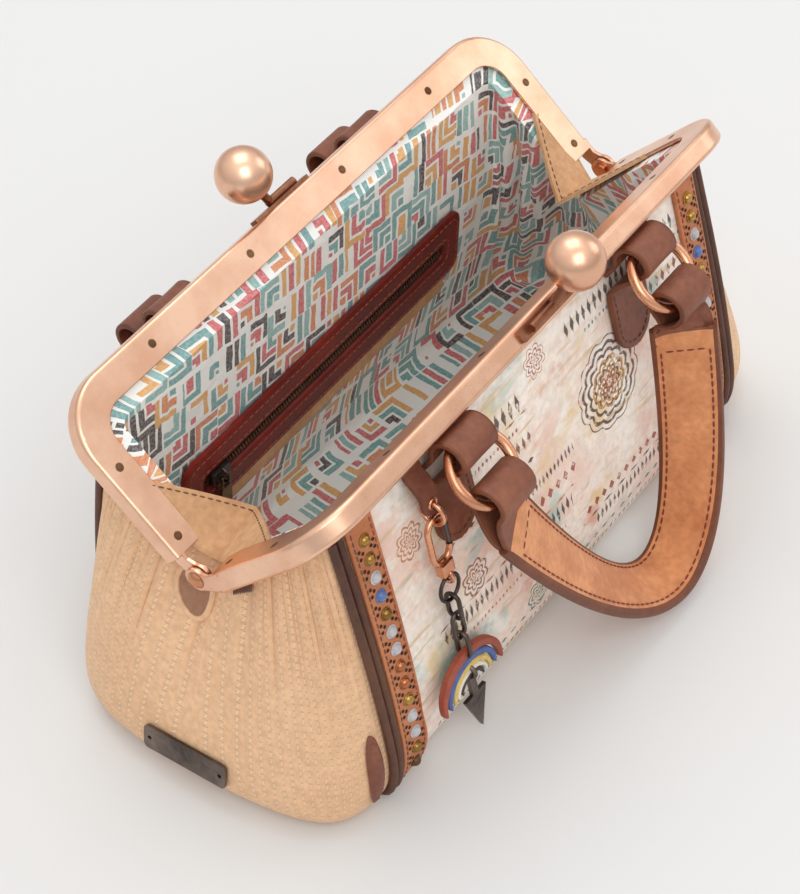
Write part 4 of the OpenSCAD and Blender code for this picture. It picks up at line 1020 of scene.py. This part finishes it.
# %% Piping
piping_d, half_pair, seam_top = 3.2, 1.65, 0.97
lift = leather_t / 2 + piping_d / 2 - 0.1
for side, side_name in SIDES:
    for end, end_name in ENDS:
        seam = [panel_pt(end, side, v) for v in np.linspace(0, seam_top, 60)]
        for number, k in ((1, -1), (2, 1)):
            line = [p + np.array([k * half_pair, side * lift, 0]) for p in seam]
            cord = tube("seam_cord_%s_%s_%d" % (side_name, end_name, number), line, piping_d / 2)
            node = "piping_%s_%s" % (side_name, end_name)
            settle(cord, piping_calf, "dark_leather", side_name + "_wall", node)
print("seam cords", piping_d, "mm thick")

# %% [markdown]
# ## Studded strips
# A strip of cognac leather runs beside each front seam. It carries domed studs with a thin rim, groups of
# three punched holes between them, and a stitch line along each edge. One stud is modelled: the top of a
# sphere that is cut off by bisect, with a thin ring round its foot. A hole is a shadow with rough walls,
# so its finish is a dark brown with no gloss.

# %% Stud and hole patterns
stud = primitive("stud_pattern", bpy.ops.mesh.primitive_uv_sphere_add, segments=20, ring_count=12, radius=0.5)
with shaping(stud):
    bpy.ops.mesh.bisect(plane_co=(0, 0, 0), plane_no=(0, 0, 1), clear_inner=True, use_fill=True)
    bpy.ops.mesh.select_all(action="SELECT")
    bpy.ops.transform.resize(value=(0.86, 0.86, 0.84), center_override=(0, 0, 0))
    bpy.ops.mesh.primitive_torus_add(major_segments=20, minor_segments=8, major_radius=0.44,
                                     minor_radius=0.07, location=(0, 0, 0.04))
hole_shade = primitive("hole_pattern", bpy.ops.mesh.primitive_circle_add, vertices=12, radius=0.5, fill_type="NGON")
with shaping(hole_shade):
    bpy.ops.mesh.inset(thickness=0.18, depth=-0.12)
punched, tree, shader = new_material("punched_hole")
shade = add(tree, "TexNoise", {"Vector": add(tree, "TexCoord").outputs["Object"], "Scale": 900.0})
dim = add(tree, "Mix", {0: shade, 6: linear("#2A1610"), 7: linear("#3E2118")}, data_type="RGBA")
plug(shader, {"Base Color": dim, "Roughness": 0.9})
print("stud:", len(stud.data.polygons), "faces")

# %% Places on the front
strip_w, strip_t, strip_gap = 13.0, 1.8, 0.2
strip_middle = panel_w / 2 - piping_d - 0.9 - strip_w / 2


def on_front(x, v, out):
    """Point over the front wall, its normal and the way up."""
    t, dv = 2 * x / panel_w, 0.02
    up = panel_pt(t, FRONT, v + dv) - panel_pt(t, FRONT, v - dv)
    normal = unit(np.cross(up, np.array([1.0, 0, 0])))
    normal = normal if normal[1] < 0 else -normal
    return panel_pt(t, FRONT, v) + normal * (leather_t / 2 + out), normal, unit(up)


def sway(end, x, v):
    """The inner edge of a strip wanders a little near the base."""
    if end * x >= 0:
        return 0.0
    return -end * 0.6 * math.sin(v * 24 + end) * smooth((0.35 - v) / 0.2) * abs(x) / strip_w * 2


print("strips stand", strip_middle, "mm from the middle")

# %% Strips
v_list, x_list = np.linspace(0.015, 0.97, 71), np.linspace(-strip_w / 2, strip_w / 2, 9)
seam_v, skin = np.linspace(0.03, 0.95, 60), strip_t + 0.3
stud_d, hole_d, stud_finishes = 5.0, 1.4, [gold, pearl, blue, copper, dark_brass]
stud_order = [4, 0, 1, 1, 0, 3, 3, 1, 1, 0, 2, 1, 0, 0]
heights = np.linspace(0.07, 0.9, len(stud_order))
triple = ((3.7, -0.012), (3.7, 0.012), (2.2, 0.0))
for end, name in ENDS:
    middle = end * strip_middle
    points = np.array([[on_front(middle + x + sway(end, x, v), v, strip_gap)[0] for x in x_list]
                       for v in v_list])
    strip = sheet_piece("strip_" + name, points, grid_uv(x_list, points), (0, -1, 0), strip_t, offset=1.0)
    apply_modifier(strip, "BEVEL", width=0.5 * MM, segments=2, limit_method="ANGLE",
                   angle_limit=math.radians(50))
    smooth_shade(strip)
    settle(strip, cognac_strip, "cognac_leather", "front_wall", "front_strip_" + name)
    tops = [on_front(middle, v, strip_t + strip_gap) for v in heights]
    places = [frame_at(p, up, n, (stud_d,) * 3) for p, n, up in tops]
    studs = copies("studs_" + name, stud, places, stud_order)
    settle(studs, stud_finishes, "stud_metal", "front_wall", "studs_" + name)
    dots = [on_front(middle + k * x, v + dv, strip_t + 0.42) for v in (heights[1:] + heights[:-1]) / 2
            for k in (-1, 1) for x, dv in triple]
    holes = copies("punched_" + name, hole_shade, [frame_at(p, up, n, (hole_d,) * 3) for p, n, up in dots])
    settle(holes, punched, "cognac_leather", "front_wall")
    for label, x, yarn, size in (("strip_stitches_", 1.6 - strip_w / 2, rust_thread, (2.3, 0.7, 0.6)),
                                 ("strip_outer_stitches_", strip_w / 2 - 1.5, brown_thread, (2.3, 0.6, 0.5))):
        line = [on_front(middle + end * x, v, skin) for v in seam_v]
        sew(label + name, [p for p, n, up in line], [n for p, n, up in line], 2.9, size, yarn,
            "cognac_leather", "front_wall")
print("strips with", 2 * len(stud_order), "studs")

# %% [markdown]
# ## Hinge facings, cut-outs and patch
# Inside each hinge a folded tan facing covers the raw ends of the leather. It fans out from the pivot to
# the arms. Below each hinge the gusset has a small oval opening with a turned edge and a bartack beside it,
# and an oval of dark leather is sewn on beside the left front seam.

# %% Facings
arm_x, arm_run, arm_n = 116.5, 29.0, -1.6
fold_x, fold_z, fold_in, fold_up, belly = 113.5, 89.5, 16.0, 5.0, 6.0
hem_a, facing_t, facing_w, facing_puff, stitch_at = 0.4, 1.4, 36, 0.8, 26


def facing_pt(end, b, a):
    """Across, b runs from the fold to an arm; up, a runs from the hem below 0 to the free edge at 1."""
    rise = max(a, 0.0)
    edge = jaw_pt(FRONT if b < 0 else BACK, end * arm_x, arm_start + arm_run * rise, arm_n)
    fold = np.array([end * (fold_x - fold_in * rise), 0, fold_z + fold_up * rise])
    point = lerp(fold, edge, abs(b) ** 1.4) - np.array([end * belly * rise * (1 - b * b), 0, 0])
    hem = rim_end(0.3 * b, end, mouth_e, panel_n) + np.array([end * 0.6, 0, -1.5])
    return lerp(point, hem, max(-a / hem_a, 0.0))


a_list = np.concatenate([np.linspace(-hem_a, 0, 5), np.linspace(0.04, 1, 24)])
for end, end_name in ENDS:
    inward = np.array([-end, 0, 0.6])
    for side, side_name in SIDES:
        b_list = np.linspace(0, side, 33)
        points = np.array([[facing_pt(end, b, a) for b in b_list] for a in a_list])
        outs = grid_normals(points, inward)
        # The hem is turned over, so only the rows past it tell which way is out
        outs *= np.sign((outs[8:] * inward).sum())
        swell = [[math.sin(math.pi * max(a, 0)) * math.cos(abs(b) * 2.2) for b in b_list] for a in a_list]
        points += outs * facing_puff * np.array(swell)[:, :, None]
        name = "%s_%s" % (end_name, side_name)
        piece = sheet_piece("facing_" + name, points, grid_uv(b_list * facing_w, points), inward, facing_t)
        settle(piece, tan_facing, "tan_leather", side_name + "_wall", "hinge_facing_" + end_name)
        line = points[stitch_at] + outs[stitch_at] * 0.75
        sew("facing_stitches_" + name, line, outs[stitch_at], 2.8, (2.1, 0.6, 0.5), brown_thread,
            "tan_leather", side_name + "_wall")
print("facings made")


# %% Places on a gusset
def on_gusset(s, v, end, out):
    """Point over an end wall, its normal and the way up."""
    d = 0.01
    up = gusset_pt(s, end, v + d) - gusset_pt(s, end, v - d)
    normal = unit(np.cross(up, gusset_pt(s + d, end, v) - gusset_pt(s - d, end, v)))
    normal = normal if normal[0] * end + normal[1] * np.sign(s) * 0.5 > 0 else -normal
    return gusset_pt(s, end, v) + normal * (leather_t / 2 + out), normal, unit(up)


turns = np.linspace(0, 2 * math.pi, 49)
print("oval in", len(turns) - 1, "steps")

# %% Oval patch
patch_s, patch_v, patch_t, patch_size = -0.915, 0.185, 1.2, (0.045, 0.135)


def on_patch(r, a, out, size=patch_size):
    return on_gusset(patch_s + size[0] * r * math.cos(a), patch_v + size[1] * r * math.sin(a), LEFT, out)


shares = np.linspace(0.02, 1, 12)
points = np.array([[on_patch(r, a, 0.3 + 1.3 * (1 - r ** 4))[0] for a in turns] for r in shares])
uv = np.array([[(r * math.cos(a) * 6, r * math.sin(a) * 16) for a in turns] for r in shares])
patch = sheet_piece("oval_patch", points, uv, (-0.6, -1, 0), patch_t)
settle(patch, dark_calf, "dark_leather", "front_wall", "gusset_patch")
ring = [on_patch(1, a, 1.6, (0.037, 0.112)) for a in turns]
sew("patch_stitches", [p for p, n, up in ring], [n for p, n, up in ring], 2.2, (1.6, 0.45, 0.4), brown_thread,
    "dark_leather", "front_wall")
print("patch:", len(patch.data.polygons), "faces")

# %% Cut-outs and bartacks
notch_s, notch_v, notch_size, tack_v = 0.075, 0.84, (0.062, 0.085), 0.9
# The leather inside a cut-out lies in shade, so it is a darker tan
shaded = leather("shaded_inner_leather", "#B08468", "#8A6048")


def on_notch(end, r, a, out):
    s = -end * (notch_s + notch_size[0] * r * math.cos(a))
    return on_gusset(s, notch_v + notch_size[1] * r * math.sin(a), end, out)[0]


for (end, end_name), wall in zip(ENDS, ("front_wall", "back_wall")):
    lip = tube("cutout_lip_" + end_name, [on_notch(end, 1, a, 0.1) for a in turns], 1.2, 8)
    settle(lip, quilted_tan, "tan_leather", "bag")
    fill = np.array([[on_notch(end, r, a, 0.6) for a in turns] for r in (0.02, 0.5, 1.0)])
    no_uv = np.zeros(fill.shape[:2] + (2,))
    inside = sheet_piece("cutout_inside_" + end_name, fill, no_uv, (end, 0, 0), 0.2)
    settle(inside, shaded, "tan_leather", "bag")
    tack = [on_gusset(end * s, tack_v, end, 0.3) for s in np.linspace(0.1, 0.165, 9)]
    bar = copies("bartack_" + end_name, stitch, [frame_at(p, up, n, (3.4, 0.9, 0.8)) for p, n, up in tack])
    settle(bar, brown_thread, "tan_leather", wall)
print("cut-outs made")

# %% [markdown]
# ## Zip pocket
# A frame of oxblood leather with round corners holds the zip of the inner pocket. It is a skin over round
# rectangles, from the back round the outer edge, over the face and down into the slot. The zip has a tape
# and two rows of teeth, one tooth copied along each edge. The tape is woven, so it is dull, with a fine grain.

# %% Pocket surround
pocket_y, pocket_z, pocket_tilt = 43.4635, 66.0, math.radians(6.8277)
pocket_l, pocket_h, slot_l, slot_h = 168.0, 31.0, 147.0, 7.0


def on_pocket(x, y, z):
    c, s = math.cos(pocket_tilt), math.sin(pocket_tilt)
    return np.array([x, pocket_y + y * c - z * s, pocket_z + y * s + z * c])


def round_rect(w, h, r, count=10):
    x, y = w / 2 - r, h / 2 - r
    quarter = np.radians(np.linspace(0, 90, count + 1))
    return [(cx + r * math.cos(start + a), cy + r * math.sin(start + a)) for cx, cy, start in
            ((x, y, 0), (-x, y, math.pi / 2), (-x, -y, math.pi), (x, -y, 1.5 * math.pi)) for a in quarter]


def pocket_ring(w, h, r, y):
    return [on_pocket(x, y, z) for x, z in round_rect(w, h, r)]


# How much longer and taller each ring is than the outline or the slot, its corner radius and its depth
outer_edge = ((0, 6, -0.2), (0, 6, -1.5), (-1.2, 5.4, -2.1), (-3, 5, -2.2))
inner_edge = ((4, 3.5, -2.3), (1.5, 2.5, -2.2), (0.4, 2, -1.7), (0, 2, -0.2))
rings = [pocket_ring(pocket_l + grow, pocket_h + grow, r, y) for grow, r, y in outer_edge]
rings += [pocket_ring(slot_l + grow, slot_h + grow, r, y) for grow, r, y in inner_edge]
pocket = loft("pocket_surround", rings + [rings[0]], closed_ends=False)
settle(pocket, pocket_calf, "pocket_leather", "bag", "pocket_frame")
out = on_pocket(0, -1, 0) - on_pocket(0, 0, 0)
for name, w, h, r in (("outer", 163, 26, 4.5), ("inner", 152, 12.5, 3.5)):
    line = pocket_ring(w, h, r, -2.35)
    sew("pocket_stitches_" + name, line + line[:1], [out] * (len(line) + 1), 3.0, (2.3, 0.6, 0.5),
        rust_thread, "pocket_leather", "bag")
print("pocket", pocket_l, "by", pocket_h, "mm")

# %% Zip
tape_l, tape_h, tape_r, welt_drop = 150, 9, 2, 18.0
tooth_pitch, tooth_count, tooth_size = 1.5, 95, (1.9, 0.85, 0.9)
zip_cloth = leather("woven_zip_tape", "#5A1E16", "#43130E", rough=0.8, grain=0.3, grain_mm=0.7)
tape = loft("zip_tape", [pocket_ring(tape_l, tape_h, tape_r, y) for y in (-0.3, -0.8)])
settle(tape, zip_cloth, "zip_tape", "bag", "pocket_zip")
tooth = primitive("tooth_pattern", bpy.ops.mesh.primitive_cube_add, size=1)
with shaping(tooth):
    bpy.ops.mesh.bevel(offset=0.22, segments=2, affect="EDGES")
up = on_pocket(0, 0, 1) - on_pocket(0, 0, 0)
places = []
for i in range(tooth_count):
    for k in (-1, 1):
        x = -71 + tooth_pitch * (i + (0.5 if k > 0 else 0))
        places.append(frame_at(on_pocket(x, -1.1, 0.75 * k), up, out, tooth_size))
settle(copies("zip_teeth", tooth, places), dark_brass, "dark_metal", "bag")
welt_edge = ((tape_h, -0.1), (tape_h, -1.2), (tape_h - 1, -1.6))
rings = [[on_pocket(x, y, z - welt_drop) for x, z in round_rect(tape_l, h, tape_r)] for h, y in welt_edge]
settle(loft("pocket_welt", rings), tan_facing, "tan_leather", "bag")
print("zip with", len(places), "teeth")

# %% [markdown]
# ## Tabs, loops and handles
# A tab is one strip of dark leather: it lies on the wall with a round end, runs up, wraps round the ring
# and comes back behind itself. A loop does the same at the end of a handle. So both are bands along a path,
# with the width set at each point. The strap is one thick band with painted edges and a stitch line 3.4 mm
# from each edge. The back handle is the front one, turned half round.

# %% Paths of tabs, loops and straps
ring_span, tab_w, tab_t, tab_l, strap_w, strap_t = 110.0, 19.0, 2.0, 44.0, 24.0, 5.0
tab_axis, loop_axis = (-60.0705, 124.9652), (-74.3661, 111.6344)
strap_out, strap_drop, strap_low, loop_r = 1.5, 14.0, 7.0, 7.4766 - tab_t / 2


def front_y(z):
    rim = rim_panel(0, FRONT, mouth_e, panel_n)[2]
    return panel_pt(0, FRONT, (z - wall_z) / (rim - wall_z))[1]


def resample(points, count, rounds=3):
    """Cut the corners a few times, then set points at equal steps."""
    points = np.asarray(points, float)
    for _ in range(rounds):
        cut = np.empty((2 * len(points), 3))
        cut[0], cut[-1] = points[0], points[-1]
        cut[1:-1:2] = lerp(points[:-1], points[1:], 0.25)
        cut[2:-1:2] = lerp(points[:-1], points[1:], 0.75)
        points = cut
    run = run_along(points)
    return np.array([at_run(points, run, d) for d in np.linspace(0, run[-1], count)])


def turned(side, p):
    return np.asarray(p, float) * (1 if side == FRONT else np.array([-1, -1, 1]))


def strap_pt(t):
    y, z = loop_axis[0] - strap_out, loop_axis[1] - strap_drop
    pull, x = (4 * strap_low - z) / 3, ring_span / 2
    a, b, c, d = np.array([(1 - x, y, z), (5, -94, pull + 8), (52, -94, pull - 8), (x, y, z)])
    s = 1 - t
    return s ** 3 * a + 3 * s * s * t * b + 3 * s * t * t * c + t ** 3 * d


def strap_wide(t):
    a = math.radians(lerp(15, 126, t))
    return np.array([-math.cos(a), -math.sin(a), 0])


def hand_of(side, own):
    return "left" if (own < 0) == (side == FRONT) else "right"


strap_length = run_along(np.array([strap_pt(t) for t in np.linspace(0, 1, 200)]))[-1]
print("strap", round(strap_length), "mm long")

# %% Tabs
tab_lift, tab_r, seam_r, seam_h = 2.6, tab_w / 2 + 1.5, tab_w / 2 - 1.1, 27
tab_out = unit(np.array([0, -1.0, 0.15]))


def tab_width(d):
    """Round at the foot, then narrowing to the width that fits the ring."""
    rounded = 2 * tab_r * math.sqrt(max(0.02, 1 - (1 - min(d / tab_r, 1)) ** 2))
    return rounded * lerp(1, tab_w / 2 / tab_r, smooth((d - 22) / 14))


def tab_path(x):
    y0, z0 = tab_axis
    rest = [(x, front_y(z) - tab_lift, z) for z in np.linspace(z0 - tab_l, z0 - 15, 8)]
    turns = np.radians(np.linspace(-15, 200, 16))
    arc = [(x, y0 - loop_r * math.cos(a), z0 + loop_r * math.sin(a)) for a in turns]
    return resample(rest + arc + [(x, front_y(z0 - 9) - 2.0, z0 - 9)], 150)


def tab_seam(x):
    low, half = tab_axis[1] - tab_l, math.pi / 2
    foot = [(x + seam_r * math.sin(a), low + tab_r - seam_r * math.cos(a))
            for a in np.linspace(-half, half, 40)]
    return [(x - seam_r, low + seam_h)] + foot + [(x + seam_r, low + seam_h)]


for side, side_name in SIDES:
    for own in (-1, 1):
        x, name = own * ring_span / 2, "%s_%s" % (side_name, hand_of(side, own))
        path = np.array([turned(side, p) for p in tab_path(x)])
        widths = [tab_width(d) for d in run_along(path)]
        wides = [turned(side, (-1.0, 0, 0))] * len(path)
        piece = band("tab_" + name, path, wides, widths, tab_t, crown=-0.2, lip=True)
        node = "%s_tab_%s" % (side_name, hand_of(side, own))
        settle(piece, [dark_calf, edge_paint], "dark_leather", side_name + "_jaw", node)
        line = [turned(side, (px, front_y(pz) - tab_lift - 1.1, pz)) for px, pz in tab_seam(x)]
        sew("tab_stitches_" + name, line, [turned(side, tab_out)] * len(line), 2.9, (2.2, 0.6, 0.5),
            brown_thread, "dark_leather", side_name + "_jaw")
print("tabs made")

# %% Straps
strap_ts = np.concatenate([[0, 0.002, 0.006], np.linspace(0.012, 0.988, 95), [0.994, 0.998, 1]])
tip = np.minimum(strap_ts, 1 - strap_ts)
thick = (strap_t - 0.5) * (0.72 + 0.28 * np.clip(tip / 0.008, 0, 1) ** 0.5)
seam = np.flatnonzero((strap_ts > 0.016) & (strap_ts < 0.984))
reach = strap_w / 2 - 3.4
for side, side_name in SIDES:
    body = side_name + "_handle"
    path = np.array([turned(side, strap_pt(t)) for t in strap_ts])
    wides = np.array([turned(side, strap_wide(t)) for t in strap_ts])
    strap = band("strap_" + side_name, path, wides, [strap_w] * len(path), thick, round_edge=0.3,
                 crown=0.3, lip=True)
    settle(strap, [cognac_nubuck, edge_paint], "cognac_leather", body, body)
    ways = directions(path)
    wides = np.array([unit(w - d * w.dot(d)) for w, d in zip(wides, ways)])
    for face, face_name in ((1, "outer"), (-1, "inner")):
        outs = np.cross(ways, wides) * face
        skin = path + outs * (strap_t / 2 + 0.02)
        lines = {"low": (skin[seam] - wides[seam] * reach, outs[seam]),
                 "high": (skin[seam] + wides[seam] * reach, outs[seam])}
        for name, k in (("start", seam[0]), ("end", seam[-1])):
            ends = [skin[k] + wides[k] * reach * f for f in np.linspace(-0.85, 0.85, 5)]
            lines[name] = (ends, [outs[k]] * len(ends))
        for name, (line, line_outs) in lines.items():
            label = "strap_stitches_%s_%s_%s" % (side_name, face_name, name)
            sew(label, line, line_outs, 3.4, (2.8, 0.8, 0.6), red_thread, "cognac_leather", body)
print("straps made")

# %% Loops
tucked = [(6, 1.05), (3, 1.05), (0.5, 1.1), (-2, 1.6)]


def loop_band(own, t_end):
    """Path, width directions and widths of a front loop, from inside the strap, round the ring and back."""
    axis, end, way = np.array([own * ring_span / 2, *loop_axis]), strap_pt(t_end), 1 if t_end == 0 else -1
    along = unit(strap_pt(min(1, t_end + 0.01)) - strap_pt(max(0, t_end - 0.01))) * way
    wide = strap_wide(t_end) * way
    wide = unit(wide - along * wide.dot(along))
    face = np.cross(along, wide)
    face = face if face[1] < 0 else -face
    first = math.atan2((end - axis)[2], -(end - axis)[1])
    arc = [axis + loop_r * np.array([0, -math.cos(a), math.sin(a)])
           for a in np.linspace(first + 0.8, first + 2 * math.pi - 0.8, 20)]
    over = [end + along * d + face * g for d, g in tucked]
    under = [end + along * d - face * g for d, g in tucked[::-1]]
    path = resample(over + arc + under, 90)
    share = [smooth((np.linalg.norm(p - axis) - loop_r) / 8) for p in path]
    level = np.array([1.0 if wide[0] > 0 else -1.0, 0, 0])
    return path, [lerp(level, wide, k) for k in share], [lerp(tab_w, strap_w - 2.4, k) for k in share]


for side, side_name in SIDES:
    for own, t_end in ((-1, 0), (1, 1)):
        path, wides, widths = loop_band(own, t_end)
        hand = hand_of(side, own)
        piece = band("loop_%s_%s" % (side_name, hand), turned(side, path), turned(side, wides), widths, tab_t)
        node = "%s_loop_%s" % (side_name, hand)
        settle(piece, [dark_calf, edge_paint], "dark_leather", side_name + "_handle", node)
print("loops made")

# %% [markdown]
# ## Charm
# The charm hangs from a small leather tab of its own, with a metal eyelet. Its arch is five leather bands,
# one inside the other, each a rounded section carried through half a turn and thinned towards its ends. The
# chain, the hook and the hammered drop are the metal solids.

# %% Charm tab and eyelet
charm_at, charm_lean = np.array([-70.5, -56.7113, 109.9652]), math.radians(-8.0779)
charm_w, charm_r, charm_t = 9, 4.5, 2.0


def on_charm(x, y, z):
    c, s = math.cos(charm_lean), math.sin(charm_lean)
    return charm_at + np.array([x, y * c - z * s, y * s + z * c])


charm_leg = (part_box("charm_tab")[1].z / MM - charm_at[2]) / math.cos(charm_lean)
route = ((0, -charm_r), (0, 0), (0, 4), (2.5, 8), (5.2, 11), (5.6, charm_leg))
path = resample([on_charm(0, y, z) for y, z in route], 40)
widths = [charm_w * math.sqrt(max(0.03, 1 - (1 - min(d / charm_r, 1)) ** 2)) for d in run_along(path)]
piece = band("charm_leather_tab", path, [(1.0, 0, 0)] * len(path), widths, charm_t)
settle(piece, [dark_calf, edge_paint], "dark_leather", "front_jaw", "charm_tab")
eyelet = primitive("charm_eyelet", bpy.ops.mesh.primitive_torus_add, major_segments=24, minor_segments=8,
                   major_radius=1.9 * MM, minor_radius=0.5 * MM)
with shaping(eyelet):
    bpy.ops.transform.rotate(value=math.pi / 2, orient_axis="X", center_override=(0, 0, 0))
    bpy.ops.transform.translate(value=[float(c) * MM for c in on_charm(0, -1.1, 0)])
settle(eyelet, rose_polish, "frame_metal", "front_jaw")
print("charm tab", round(run_along(path)[-1], 1), "mm long")

# %% Charm arch
arch_mid, past_half, chamfer = -83.98, 0.12, 0.5
# Colour, half width and height outside, width of the band and its thickness
arch_bands = (("red", "#A0503C", 18.2, 16.0, 3.4, 3.0), ("blue", "#5368A0", 14.6, 12.3, 2.8, 2.6),
              ("ochre", "#DDBE6C", 11.6, 9.3, 2.3, 2.6), ("pale", "#E9E2D2", 9.1, 6.9, 1.8, 2.4),
              ("ink", "#4A3A3A", 7.1, 5.0, 1.8, 2.2))


def arch_ring(a, wide, high, band_w, deep):
    share = min(max((a + past_half) / (math.pi + 2 * past_half), 0), 1)
    h, t, c = band_w / 2 * (0.35 + 0.65 * math.sin(share * math.pi) ** 0.5), deep / 2, chamfer
    x, z = (wide - band_w / 2) * math.cos(a), (high - band_w / 2) * math.sin(a)
    out = unit(np.array([math.cos(a) / wide, math.sin(a) / high]))
    section = [(-h, c - t), (c - h, -t), (h - c, -t), (h, c - t),
               (h, t - c), (h - c, t), (c - h, t), (-h, t - c)]
    return [on_charm(x + out[0] * r, y, arch_mid + z + out[1] * r) for r, y in section]


for name, colour, *sizes in arch_bands:
    arc = np.linspace(-past_half, math.pi + past_half, 49)
    piece = loft("charm_band_" + name, [arch_ring(a, *sizes) for a in arc])
    dyed = leather("charm_leather_" + name, colour, colour, rough=0.5, grain=0.3)
    settle(piece, dyed, "charm_leather", "charm_arch", "charm_arch")
print("charm bands:", len(arch_bands))

# %% Finish
for pattern in (stitch, stud, hole_shade, tooth):
    bpy.data.objects.remove(pattern)
